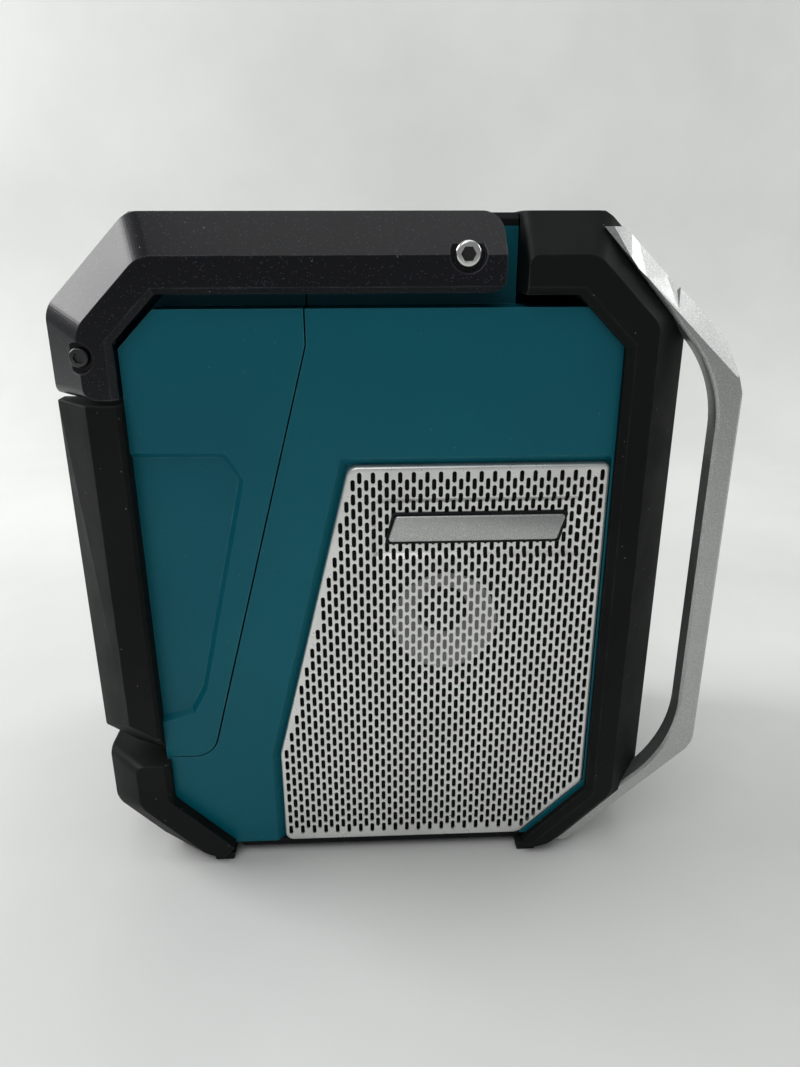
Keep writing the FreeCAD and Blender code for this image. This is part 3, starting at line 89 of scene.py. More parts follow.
class RadioSizes(bpy.types.PropertyGroup):
    slot_wide: size("Slot width", "Width of one slot in the grille", 1.9)
    slot_tall: size("Slot height", "Height of one slot, over its round ends", 5.15)
    column_step: size("Column step", "Distance between columns of slots", 2.88)
    row_step: size("Row step", "Distance between slots in a column", 6.35)
    sheet: size("Sheet", "Thickness of the grille sheet", 0.7)
    rolled: size("Rolled edge", "Radius of the grille's rolled edge", 1.3)
    grille_slant_back: size("Slant", "How far the grille's rear edge leans forward", 35.7)
    grille_bend: size("Bend", "Height where the rear edge starts to lean", 58)
    grille_cut: size("Corner cut", "Slanted lower front corner of the grille", 30.2)
    field_low: size("Field foot", "Lower edge of the pressed field", 158)
    field_high: size("Field top", "Upper edge of the pressed field", 185.6)
    field_back: size("Field back", "Rear edge of the pressed field", -13.5)
    field_front: size("Field front", "Front edge of the pressed field", 78.7)
    field_deep: size("Field depth", "Depth of the pressed field", 1.7)
    field_slope: size("Field slope", "Width of the field's sloped walls", 2.2)
    plate_wide: size("Plate width", "Length of the bare plate in the field", 74)
    plate_tall: size("Plate height", "Height of the bare plate", 11.5)
    plate_lean: size("Plate lean", "How far the plate's ends slant", 3.5)
    facet: size("Facet", "Slanted face along the bumpers' outer edges", 16)
    blend: size("Blend", "Width of the soft blend across the bumpers' corners", 8)
    field_soft: size("Cover slope", "Extra width of the slopes round the rear cover's field", 2.4)
    press_deep: size("Cover field depth", "Depth of the rear cover's pressed field", 2.5)
    strip: size("Strip", "Half width of the strip that closes the frame's facets", 1.6)
    corner_foot: size("Strip foot", "Frame's foot up to the strip", 30)
    corner_drop: size("Strip drop", "Frame's top down to the strip", 62)
    crease_start_x: size("Crease start", "Upper end of the guards' crease, ahead", 91.1)
    crease_start_z: size("Crease start height", "Height of that end", 279.9)
    crease_end_x: size("Crease end", "Lower end of the crease, ahead", 139.9)
    crease_end_z: size("Crease end height", "Height of that end", 234.1)
    facet_wide: size("Guard facet width", "Width of the guards' slanted facet", 8.6)
    facet_deep: size("Guard facet depth", "Depth of that facet across the guard", 7.5)
    hollow_deep: size("Hollow depth", "Depth of the hollow in the guards' facet", 2.2)
    end_height: size("End height", "Where the guards' upper end starts to lean", 279.9)
    end_lean: FloatProperty(name="End lean", description="Lean of the upper end", default=0.28)
    guard_soft: size("Guard edge", "Rounding of the guards' edges", 0.7)
    soft_edge: size("Soft edge", "Rounding of moulded edges", 0.55)
    bolt_socket: size("Socket", "Half width of the bolts' hexagon sockets", 2.6)
    socket_deep: size("Socket depth", "Depth of the bolts' sockets", 2.2)
    paper_edge: size("Paper edge", "Radius where the cone's pale paper ends", 24)
    turns: IntProperty(name="Round steps", description="Steps of a full circle", default=48, min=12)


class RadioColours(bpy.types.PropertyGroup):
    teal: colour("Teal", "Housing plastic", (0.0, 0.122, 0.162))
    teal_deep: colour("Deep teal", "Darker cast of the housing", (0.0, 0.104, 0.146))
    # black rubber's own colour, with a slight green cast that is a painted reflection
    rubber: colour("Rubber", "Bumper rubber", (0.0062, 0.0070, 0.0066))
    # paler rubber along the edges: rubbed wear and a painted edge highlight
    rubber_worn: colour("Worn rubber", "Rubber rubbed pale along edges", (0.040, 0.042, 0.046))
    arm: colour("Arm", "Handle plastic", (0.0026, 0.0028, 0.0040))
    # painted glints: lighter flecks in the handle's colour stand in for the sparkle of its textured plastic
    arm_fleck: colour("Arm fleck", "Mica in the handle plastic", (0.10, 0.10, 0.15))
    silver: colour("Silver", "Metallic paint of the guards", (0.58, 0.59, 0.58))
    sheet: colour("Sheet", "Bright grille sheet", (0.86, 0.86, 0.84))
    paper: colour("Paper", "Loudspeaker cone", (0.58, 0.58, 0.57))
    board: colour("Board", "Circuit board", (0.01, 0.11, 0.04))
    floor: colour("Floor", "Pale floor and backdrop", (0.80, 0.81, 0.79))


def sizes():
    return bpy.context.scene.radio_sizes


def colours():
    return bpy.context.scene.radio_colours


# small helpers for meshes

def new_object(name, mesh):
    made = bpy.data.objects.new(name, mesh)
    bpy.context.scene.collection.objects.link(made)
    return made


def built(builder, name):
    """An object from a finished builder."""
    mesh = bpy.data.meshes.new(name)
    builder.to_mesh(mesh)
    builder.free()
    return new_object(name, mesh)


def circle(middle, radius, level, steps):
    """Points round a line along Y through middle, at one level."""
    spots = []
    for step in range(steps):
        angle = 2 * math.pi * step / steps
        spots.append((middle[0] + radius * math.cos(angle), level,
                      middle[1] + radius * math.sin(angle)))
    return spots


def middle_of(node):
    """Middle of a CAD node's box in side view."""
    low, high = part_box(node)
    return (low.x + high.x) / 2, (low.z + high.z) / 2


def reach_of(node):
    """How near and how far a CAD node lies from the middle plane."""
    return sorted((abs(edge(node, 0, 1)), abs(edge(node, 1, 1))))


def stacked_loops(name, loops):
    """A closed mesh through loops of equally many points."""
    builder = bmesh.new()
    rows = [[builder.verts.new(spot) for spot in loop] for loop in loops]
    count = len(rows[0])
    for low, high in zip(rows, rows[1:]):
        for index in range(count):
            after = (index + 1) % count
            builder.faces.new((low[index], low[after], high[after], high[index]))
    builder.faces.new(list(reversed(rows[0])))
    builder.faces.new(rows[-1])
    bmesh.ops.recalc_face_normals(builder, faces=builder.faces)
    return built(builder, name)


def apply_modifiers(piece):
    depsgraph = bpy.context.evaluated_depsgraph_get()
    finished = bpy.data.meshes.new_from_object(piece.evaluated_get(depsgraph))
    piece.modifiers.clear()
    piece.data = finished


def carve(piece, tool, operation="DIFFERENCE"):
    """Cut or join a closed tool, which is then thrown away."""
    step = piece.modifiers.new("carve", "BOOLEAN")
    step.operation = operation
    step.solver = "MANIFOLD"
    step.object = tool
    apply_modifiers(piece)
    bpy.data.objects.remove(tool)
    if not piece.data.polygons:
        raise RuntimeError("carving left nothing of " + piece.name)


def soften(piece, width, segments=2, angle=28):
    """Round a piece's sharp edges and shade it smooth."""
    weld = piece.modifiers.new("weld", "WELD")
    weld.merge_threshold = 1e-6
    bevel = piece.modifiers.new("soft_edges", "BEVEL")
    bevel.width = width
    bevel.segments = segments
    bevel.limit_method = "ANGLE"
    bevel.angle_limit = math.radians(angle)
    bevel.harden_normals = True
    bevel.use_clamp_overlap = True


def clean_copy(node, name):
    """A copy of a CAD piece with welded points and whole flat faces."""
    builder = bmesh.new()
    builder.from_mesh(frame["nodes"][node].data)
    bmesh.ops.remove_doubles(builder, verts=builder.verts, dist=2e-6)
    flat = math.radians(0.6)
    bmesh.ops.dissolve_limit(builder, angle_limit=flat, verts=builder.verts, edges=builder.edges)
    return built(builder, name)


def blend_edges(piece, chosen, width, segments=8):
    """Round the chosen edges of a piece broadly."""
    builder = bmesh.new()
    builder.from_mesh(piece.data)
    edges = [line for line in builder.edges if chosen(line)]
    if not edges:
        raise RuntimeError("no edge to round on " + piece.name)
    bmesh.ops.bevel(builder, geom=edges, offset=width, offset_type="OFFSET", segments=segments,
                    profile=0.5, affect="EDGES", clamp_overlap=True)
    bmesh.ops.recalc_face_normals(builder, faces=builder.faces)
    builder.to_mesh(piece.data)
    builder.free()


def is_mitre(line, half_width, facet):
    """Whether an edge crosses the facet from the outer edge to the side face."""
    near, far = sorted((abs(spot.co.y) for spot in line.verts), reverse=True)
    return abs(near - half_width) < NEAR and abs(far - (half_width - facet)) < NEAR


def shade_smooth(piece, angle=35):
    mesh = piece.data
    mesh.shade_smooth()
    mesh.set_sharp_from_angle(angle=math.radians(angle))


def rounded(corners, radii, steps=6):
    """A closed outline with each corner rounded by its own radius."""
    spots = []
    count = len(corners)
    for index in range(count):
        here = Vector(corners[index])
        before = (Vector(corners[index - 1]) - here).normalized()
        after = (Vector(corners[(index + 1) % count]) - here).normalized()
        radius = radii[index]
        if radius <= 0:
            spots.append(tuple(here))
            continue
        half = before.angle(after) / 2
        reach = radius / math.tan(half)
        centre = here + (before + after).normalized() * (radius / math.sin(half))
        start = here + before * reach - centre
        end = here + after * reach - centre
        turn = start.angle_signed(end)
        for step in range(steps + 1):
            share = turn * step / steps
            spun = Vector((start.x * math.cos(share) + start.y * math.sin(share),
                           -start.x * math.sin(share) + start.y * math.cos(share)))
            spots.append(tuple(centre + spun))
    return spots


def shrink(corners, gap):
    """Move every side of a convex outline inwards by gap."""
    count = len(corners)
    area = sum(a[0] * b[1] - b[0] * a[1] for a, b in zip(corners, corners[1:] + corners[:1]))
    turn = 1 if area > 0 else -1
    moved = []
    for index in range(count):
        here = Vector(corners[index])
        before = (here - Vector(corners[index - 1])).normalized()
        after = (Vector(corners[(index + 1) % count]) - here).normalized()
        normal_a = Vector((-before.y, before.x)) * turn
        normal_b = Vector((-after.y, after.x)) * turn
        middle = (normal_a + normal_b).normalized()
        moved.append(tuple(here + middle * (gap / middle.dot(normal_a))))
    return moved


# finishes

class Finish:
    """A new material and the steps that its look is made of."""

    def __init__(self, name, shine=0.5):
        made = bpy.data.materials.new(FINISH + name)
        made.use_nodes = True
        self.tree = made.node_tree
        self.shader = self.tree.nodes["Principled BSDF"]
        self.fill(self.shader, {"Specular IOR Level": shine})
        self.place = self.node("TexCoord", {}).outputs["Object"]

    def fill(self, node, inputs):
        """Set a node's inputs to values, or link them to other nodes' outputs."""
        for name, value in inputs.items():
            if isinstance(value, bpy.types.NodeSocket):
                self.tree.links.new(value, node.inputs[name])
            else:
                node.inputs[name].default_value = value

    def node(self, kind, inputs, **settings):
        made = self.tree.nodes.new("ShaderNode" + kind)
        for name, value in settings.items():
            setattr(made, name, value)
        self.fill(made, inputs)
        return made

    def noise(self, scale, detail=3.0, rough=0.55):
        inputs = {"Vector": self.place, "Scale": scale, "Detail": detail, "Roughness": rough}
        return self.node("TexNoise", inputs).outputs["Fac"]

    def remap(self, value, low, high, start=0.0, end=1.0):
        inputs = {"Value": value, "From Min": low, "From Max": high, "To Min": start, "To Max": end}
        return self.node("MapRange", inputs).outputs["Result"]

    def uneven(self, scale, detail, low, high):
        """A noise that runs between two values."""
        return self.remap(self.noise(scale, detail), 0.3, 0.7, low, high)

    def patches(self, scale, detail):
        return self.remap(self.noise(scale, detail), 0.35, 0.65)

    def mixed(self, share, first, second):
        """Blend two colours, each a colour or an output."""
        inputs = {"Factor": share}
        for index, value in ((6, first), (7, second)):
            inputs[index] = value if isinstance(value, bpy.types.NodeSocket) else (*value, 1)
        return self.node("Mix", inputs, data_type="RGBA").outputs[2]

    def times(self, first, second):
        return self.node("Math", {0: first, 1: second}, operation="MULTIPLY").outputs[0]

    def worn_edges(self, radius, patch_scale):
        """One along outside and inside edges, broken up into patches; the colour mixed in by it is edge wear and a
        painted edge highlight.
        """
        bevel = self.node("Bevel", {"Radius": radius}, samples=6).outputs["Normal"]
        flat = self.node("NewGeometry", {}).outputs["True Normal"]
        dot = self.node("VectorMath", {0: bevel, 1: flat}, operation="DOT_PRODUCT")
        rim = self.remap(dot.outputs["Value"], 0.995, 0.93)
        return self.times(rim, self.remap(self.noise(patch_scale, 4), 0.42, 0.62, 0.25, 1.0))

    def specks(self, scale, size_share, keep):
        """Scattered small spots, such as dust or mica; keep is the share left out."""
        cells = self.node("TexVoronoi", {"Vector": self.place, "Scale": scale})
        spot = self.remap(cells.outputs["Distance"], size_share, size_share * 0.6)
        pick = self.node("SeparateColor", {"Color": cells.outputs["Color"]})
        return self.times(spot, self.remap(pick.outputs[0], keep, keep + 0.01))

    def surface(self, tone, rough, metal=0.0):
        self.fill(self.shader, {"Base Color": tone, "Roughness": rough, "Metallic": metal})

    def bumped(self, height, strength, distance):
        inputs = {"Height": height, "Strength": strength, "Distance": distance}
        self.fill(self.shader, {"Normal": self.node("Bump", inputs).outputs["Normal"]})


def teal_plastic():
    look = Finish("teal_plastic", 0.20)
    tone = look.mixed(look.patches(9, 2), colours().teal, colours().teal_deep)
    # paler teal along the edges: edge wear and a painted highlight on the edges
    tone = look.mixed(look.worn_edges(0.7 * MM, 120), tone, (0.05, 0.20, 0.23))
    tone = look.mixed(look.specks(900, 0.16, 0.985), tone, (0.30, 0.36, 0.36))
    look.surface(tone, look.uneven(26, 4, 0.34, 0.46))
    look.bumped(look.noise(2600, 2), 0.10, 0.05 * MM)


def black_rubber(name, base, grain):
    """Dull black with rubbed edges that also carry a painted edge highlight, paler patches and dust."""
    look = Finish(name, 0.11)
    lighter = tuple(min(1, part * 1.4 + 0.001) for part in base)
    tone = look.mixed(look.remap(look.noise(14, 3), 0.35, 0.7), base, lighter)
    # paler edges: rubbed wear and a painted highlight on the edges
    tone = look.mixed(look.worn_edges(1.1 * MM, 60), tone, colours().rubber_worn)
    rubbed = look.remap(look.noise(320, 5, 0.7), 0.66, 0.78, 0, 0.20)
    tone = look.mixed(rubbed, tone, (0.05, 0.05, 0.052))
    tone = look.mixed(look.specks(620, 0.15, 0.972), tone, (0.34, 0.34, 0.33))
    look.surface(tone, look.uneven(40, 3, 0.52, 0.68))
    look.bumped(look.noise(grain, 3), 0.22, 0.08 * MM)


def handle_plastic():
    """Glossier black with fine flecks in it, painted as light glints."""
    look = Finish("handle_plastic", 0.08)
    tone = look.mixed(look.patches(12, 2), colours().arm, (0.004, 0.0042, 0.0062))
    # painted glints: lighter flecks stand in for the sparkle of the textured plastic
    tone = look.mixed(look.specks(1900, 0.34, 0.88), tone, colours().arm_fleck)
    # paler handle edges: edge wear and a painted highlight on the edges
    tone = look.mixed(look.worn_edges(0.8 * MM, 90), tone, (0.09, 0.09, 0.11))
    tone = look.mixed(look.specks(560, 0.15, 0.978), tone, (0.36, 0.36, 0.36))
    look.surface(tone, look.uneven(30, 3, 0.36, 0.48))
    look.fill(look.shader, {"Coat Weight": 0.42, "Coat Roughness": 0.24})
    look.bumped(look.noise(2200, 2), 0.35, 0.09 * MM)


def silver_paint():
    """Metallic paint with bright flakes."""
    look = Finish("silver_paint")
    grain = look.noise(2600, 2)
    tone = look.mixed(look.remap(grain, 0.35, 0.65), colours().silver, (0.33, 0.34, 0.33))
    tone = look.mixed(look.specks(2100, 0.36, 0.78), tone, (0.80, 0.81, 0.79))
    look.surface(tone, look.uneven(60, 3, 0.30, 0.40), 0.82)
    look.bumped(grain, 0.30, 0.06 * MM)


def grille_sheet():
    look = Finish("grille_sheet")
    tone = look.mixed(look.remap(look.noise(45, 4), 0.3, 0.7), colours().sheet, (0.74, 0.74, 0.72))
    look.surface(tone, look.uneven(220, 3, 0.26, 0.40), 0.7)
    look.bumped(look.noise(420, 3), 0.10, 0.10 * MM)


def plain_finish(name, base, rough, metal=0.0, grain=900, depth=0.15):
    """A finish with a slight cast, uneven gloss and fine grain."""
    look = Finish(name)
    lighter = tuple(min(1, part * 1.25 + 0.003) for part in base)
    tone = look.mixed(look.patches(40, 3), base, lighter)
    look.surface(tone, look.uneven(160, 3, rough - 0.05, rough + 0.05), metal)
    look.bumped(look.noise(grain, 2), depth, 0.06 * MM)


def cone_paper():
    """Pale paper with a dark rim, by the distance from the loudspeaker's axis."""
    look = Finish("speaker_paper")
    middle_x, middle_z = middle_of("speaker_cone_right")
    flat = look.node("VectorMath", {0: look.place, 1: (1, 0, 1)}, operation="MULTIPLY")
    away = look.node("VectorMath", {0: flat.outputs["Vector"], 1: (middle_x, 0, middle_z)},
                     operation="DISTANCE")
    start = sizes().paper_edge
    rim = look.remap(away.outputs["Value"], start, start + 0.5 * MM)
    tone = look.mixed(rim, colours().paper, (0.012, 0.012, 0.012))
    look.surface(tone, look.uneven(160, 3, 0.75, 0.85))
    look.bumped(look.noise(1400, 2), 0.4, 0.06 * MM)


def clear_lens():
    look = Finish("clear_lens")
    look.surface((0.90, 0.95, 0.94, 1), look.uneven(90, 3, 0.02, 0.07))
    look.fill(look.shader, {"Transmission Weight": 1, "IOR": 1.46})


# base colour, roughness, metal, grain, depth of the grain
PLAIN = {
    "button_plastic": ((0.028, 0.028, 0.030), 0.55),
    "display_glass": ((0.30, 0.36, 0.30), 0.22, 0, 300, 0.02),
    "ferrite": ((0.06, 0.06, 0.06), 0.7),
    "speaker_metal": ((0.03, 0.03, 0.03), 0.45, 0.4),
    "speaker_rubber": ((0.02, 0.02, 0.02), 0.6),
    "bright_steel": ((0.62, 0.62, 0.60), 0.22, 1.0, 500, 0.08),
    "dark_steel": ((0.05, 0.05, 0.052), 0.35, 0.8, 700, 0.12),
    "bearing_plastic": ((0.66, 0.64, 0.56), 0.5),
    "print_white": ((0.72, 0.74, 0.74), 0.5),
    "cloth": ((0.006, 0.006, 0.006), 0.9, 0, 2600, 0.5),
    "cap_black": ((0.012, 0.012, 0.012), 0.6),
    "print_dark": ((0.02, 0.025, 0.02), 0.5),
}


def make_materials():
    """Every finish, under the name of its slot in the record."""
    teal_plastic()
    black_rubber("black_rubber", colours().rubber, 1500)
    black_rubber("foot_rubber", (0.012, 0.012, 0.013), 800)
    black_rubber("black_plastic", (0.007, 0.007, 0.0085), 2400)
    handle_plastic()
    silver_paint()
    grille_sheet()
    clear_lens()
    cone_paper()
    plain_finish("board_green", colours().board, 0.35)
    for name, values in PLAIN.items():
        plain_finish(name, *values)


def dress(piece, finish):
    piece.data.materials.clear()
    piece.data.materials.append(bpy.data.materials[FINISH + finish])


def settle(piece, body, finish):
    """Give a new piece its body, finish and slot."""
    dress(piece, finish)
    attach(piece, body)


class RADIO_OT_stage(bpy.types.Operator):
    """Pale floor, soft studio light and the camera at the photograph's view"""

    bl_idname = "radio.stage"
    bl_label = "Stage"

    camera_place = (-15.1 * MM, -400.4 * MM, 289.7 * MM)
    camera_turn = (69.8, 0.15, -2.56)
    lens = 27.03
    sensor = 36
    sky = (0.86, 0.88, 0.90)
    sky_strength = 0.28

    def execute(self, context):
        scene = context.scene
        scene.view_settings.view_transform = "Standard"
        self.camera(scene)
        self.floor()
        self.lights(scene)
        return {"FINISHED"}

    def camera(self, scene):
        data = bpy.data.cameras.new("camera")
        data.sensor_fit = "VERTICAL"
        data.sensor_height = self.sensor
        data.lens = self.lens
        data.clip_start = 0.01
        made = new_object("camera", data)
        made.location = self.camera_place
        made.rotation_euler = [math.radians(part) for part in self.camera_turn]
        scene.camera = made

    def floor(self):
        """A pale floor that bends up into the backdrop, in metres."""
        look = Finish("pale_floor")
        tint = tuple(colours().floor)
        darker = tuple(part * 0.90 for part in tint)
        look.surface(look.mixed(look.patches(3.0, 4), tint, darker), 0.75)
        reach, near, back, bend, high, steps = 3.0, -2.0, 0.62, 0.35, 2.4, 12
        rows = [(near, 0.0), (back, 0.0)]
        for step in range(1, steps + 1):
            angle = math.pi / 2 * step / steps
            rows.append((back + bend * math.sin(angle), bend * (1 - math.cos(angle))))
        rows.append((back + bend, high))
        loops = [[(-reach, y, z), (reach, y, z)] for y, z in rows]
        builder = bmesh.new()
        grid = [[builder.verts.new(spot) for spot in loop] for loop in loops]
        for low, top in zip(grid, grid[1:]):
            builder.faces.new((low[0], low[1], top[1], top[0]))
        piece = built(builder, "floor")
        piece.data.shade_smooth()
        dress(piece, "pale_floor")

    def lights(self, scene):
        # name, place, aim, width, power
        lamps = (
            ("key", (-1.45, 0.28, 1.15), (-0.1, 0, 0.25), 0.8, 19.0),
            ("front", (-0.5, -1.3, 1.9), (0, 0, 0.15), 1.2, 9.0),
            ("side", (1.55, 0.45, 0.95), (0.1, 0, 0.2), 0.8, 7.0),
            ("back", (0.2, 0.1, 2.2), (0, 0.7, 0.3), 1.6, 8.0),
        )
        for name, spot, aim, wide, power in lamps:
            data = bpy.data.lights.new(name, "AREA")
            data.energy = power
            data.size = wide
            made = new_object(name, data)
            made.location = spot
            toward = Vector(aim) - Vector(spot)
            made.rotation_euler = toward.to_track_quat("-Z", "Y").to_euler()
        world = bpy.data.worlds.new("studio")
        world.use_nodes = True
        background = world.node_tree.nodes["Background"]
        background.inputs["Color"].default_value = (*self.sky, 1)
        background.inputs["Strength"].default_value = self.sky_strength
        scene.world = world


class RADIO_OT_finishes(bpy.types.Operator):
    """Finishes and soft edges on the pieces that come from the CAD model"""

    bl_idname = "radio.finishes"
    bl_label = "Finishes"

    def execute(self, context):
        make_materials()
        slots = {part["node"]: part["material_slot"] for part in frame["record"]["subparts"]}
        softened = ("teal_plastic", "black_rubber", "handle_plastic", "silver_paint",
                    "black_plastic", "button_plastic", "foot_rubber")
        for node, piece in frame["nodes"].items():
            finish = slots[node]
            dress(piece, "cap_black" if node.startswith("dust_cap") else finish)
            if finish in softened:
                soften(piece, sizes().soft_edge)
        return {"FINISHED"}


class RADIO_OT_bumpers(bpy.types.Operator):
    """Front frame, lower bumper and handle arms with softly blended corners"""

    bl_idname = "radio.bumpers"
    bl_label = "Bumpers"

    # the rear cover's field in side view, in mm; its rear end runs past the back
    field_foot, field_head = 79.8, 204.8
    field_corners = ((-98.2, 84.4), (-92, 96.1), (-68.6, 194.6), (-74.7, 204.4))
    field_rounds = (1, 7, 10, 9, 7, 1)
    field_past = 9 * MM
    field_steps = 5
    over = 0.6 * MM             # the field's tool stands out from the flank
    over_slope = 1 * MM         # and widens there
    foot_slope = 0.3 * MM       # how far the field's floor is inside its outline
    floor_thick = 0.1 * MM      # last layer of the tool
    corner_more = 1 * MM        # the housing's corner goes back past the strip

    def execute(self, context):
        s = sizes()
        half_width = edge("front_frame", 1, 1)
        for node, body, finish in (("front_frame", ROOT, "black_rubber"),
                                   ("rear_bumper", ROOT, "black_rubber"),
                                   ("handle_arm_right", "handle", "handle_plastic"),
                                   ("handle_arm_left", "handle", "handle_plastic")):
            piece = clean_copy(node, node + "_soft")
            if node == "front_frame":
                self.close_corner(piece)
            blend_edges(piece, lambda line: is_mitre(line, half_width, s.facet), s.blend)
            soften(piece, s.soft_edge)
            settle(piece, body, finish)
            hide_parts(node)
        self.housing()
        self.rear_cover()
        return {"FINISHED"}

    def rear_cover(self):
        """Rear cover whose pressed field has broad soft slopes."""
        s = sizes()
        node = "rear_cover"
        piece = clean_copy(node, "rear_cover_soft")
        flank = edge(node, 1, 1)
        behind = edge("main_housing", 0, 0) - self.field_past
        inner = [(x * MM, z * MM) for x, z in self.field_corners]
        corners = [(behind, self.field_foot * MM), *inner, (behind, self.field_head * MM)]
        floor = flank - s.press_deep
        levels = ((-s.field_soft - self.over_slope, flank + self.over), (-s.field_soft, flank),
                  (self.foot_slope, floor), (self.foot_slope, floor - self.floor_thick))
        for side in SIDES.values():
            loops = []
            for inset, level in levels:
                radii = [part * MM - min(inset, 0) for part in self.field_rounds]
                spots = rounded(shrink(corners, inset), radii, self.field_steps)
                loops.append([(x, side * level, z) for x, z in spots])
            carve(piece, stacked_loops("press", loops))
        soften(piece, s.soft_edge)
        settle(piece, ROOT, "teal_plastic")
        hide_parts(node)

    def close_corner(self, piece):
        """Close the frame's facets over the housing's front corners."""
        s = sizes()
        low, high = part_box("front_frame")
        core = edge("main_housing", 1, 0)
        across = high.x + high.y - s.facet - core
        spots = ((core - s.strip, across + s.strip), (core + s.strip, across - s.strip),
                 (core, across - s.strip), (core - s.strip, across))
        for side in SIDES.values():
            loops = [[(x, side * y, level) for x, y in spots]
                     for level in (low.z + s.corner_foot, high.z - s.corner_drop)]
            carve(piece, stacked_loops("strip", loops), "UNION")

    def housing(self):
        """Housing with its hidden front corners taken back behind the frame."""
        s = sizes()
        piece = clean_copy("main_housing", "housing_soft")
        front, flank = edge("main_housing", 1, 0), edge("main_housing", 1, 1)

        def front_corner(line):
            return all(abs(spot.co.x - front) < NEAR and abs(abs(spot.co.y) - flank) < NEAR
                       for spot in line.verts)

        blend_edges(piece, front_corner, s.strip + self.corner_more, 1)
        soften(piece, s.soft_edge)
        settle(piece, ROOT, "teal_plastic")
        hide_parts("main_housing")


class RADIO_OT_guards(bpy.types.Operator):
    """Silver guards with the broad slanted facet and the hollow at their upper end"""

    bl_idname = "radio.guards"
    bl_label = "Guards"

    # along the crease, out from it, both in mm, and the share of the hollow's depth
    hollow_points = ((-14, 16, 0.2), (-2, 0.1, 0), (7.6, 0.3, 0.8), (25.6, 1.0, 0),
                     (15.4, 7.4, 1), (18, 16, 1.1))
    over = 2 * MM               # the tools stand out from the guard
    hollow_over = 3 * MM
    end_over = 1 * MM
    slant_wide = 40 * MM        # the slant tool's reach out from the crease
    slant_ends = (-60 * MM, 110 * MM)
    slant_share = 1.6           # its depth, as a share of the facet's
    end_back = 40 * MM          # the end tool's reach behind the crease's start
    end_front = 13.5 * MM       # and in front of it

    def execute(self, context):
        for name, side in SIDES.items():
            self.guard(name, side)
        return {"FINISHED"}

    def guard(self, name, side):
        s = sizes()
        node = "guard_" + name
        piece = clean_copy(node, node + "_faceted")
        face = reach_of(node)[1]
        carve(piece, self.slant_tool(side, face))
        carve(piece, self.hollow_tool(side, face))
        carve(piece, self.end_tool(side, face))
        soften(piece, s.guard_soft, 3)
        settle(piece, ROOT, "silver_paint")
        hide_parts(node)

    def crease(self):
        """Start of the crease on the side face, its direction and the way outwards."""
        s = sizes()
        start = Vector((s.crease_start_x, 0, s.crease_start_z))
        along = Vector((s.crease_end_x, 0, s.crease_end_z)) - start
        along.normalize()
        return start, along, Vector((-along.z, 0, along.x))

    def slant_tool(self, side, face):
        """A wedge outside the crease, which leaves the slanted facet."""
        s = sizes()
        start, along, out = self.crease()
        steep = s.facet_wide / s.facet_deep
        deep = s.facet_deep * self.slant_share
        rows = ((-self.over * steep, face + self.over), (self.slant_wide, face + self.over),
                (self.slant_wide, face - deep), (deep * steep, face - deep))
        loops = []
        for reach in self.slant_ends:
            loop = []
            for away, level in rows:
                spot = start + along * reach + out * away
                loop.append((spot.x, side * level, spot.z))
            loops.append(loop)
        return stacked_loops("slant", loops)

    def hollow_tool(self, side, face):
        """The two-sided hollow in the facet's upper end."""
        s = sizes()
        start, along, out = self.crease()
        builder = bmesh.new()
        for down, away, deeper in self.hollow_points:
            spot = start + (along * down + out * away) * MM
            level = s.facet_deep * max(0.0, away * MM) / s.facet_wide + deeper * s.hollow_deep
            for depth in (level, -self.hollow_over):
                builder.verts.new((spot.x, side * (face - depth), spot.z))
        bmesh.ops.convex_hull(builder, input=builder.verts)
        bmesh.ops.recalc_face_normals(builder, faces=builder.faces)
        return built(builder, "hollow")

    def end_tool(self, side, face):
        """The guard's upper end leans inwards above a level line."""
        s = sizes()
        low, high = s.end_height, edge("guard_right", 1, 2) + self.over
        outside = side * (face + self.end_over)
        lean = (high - low) * s.end_lean
        loops = []
        for x in (s.crease_start_x - self.end_back, s.crease_start_x + self.end_front):
            loops.append([(x, outside, low - self.end_over / s.end_lean), (x, outside, high),
                          (x, side * (face - lean), high)])
        return stacked_loops("end", loops)


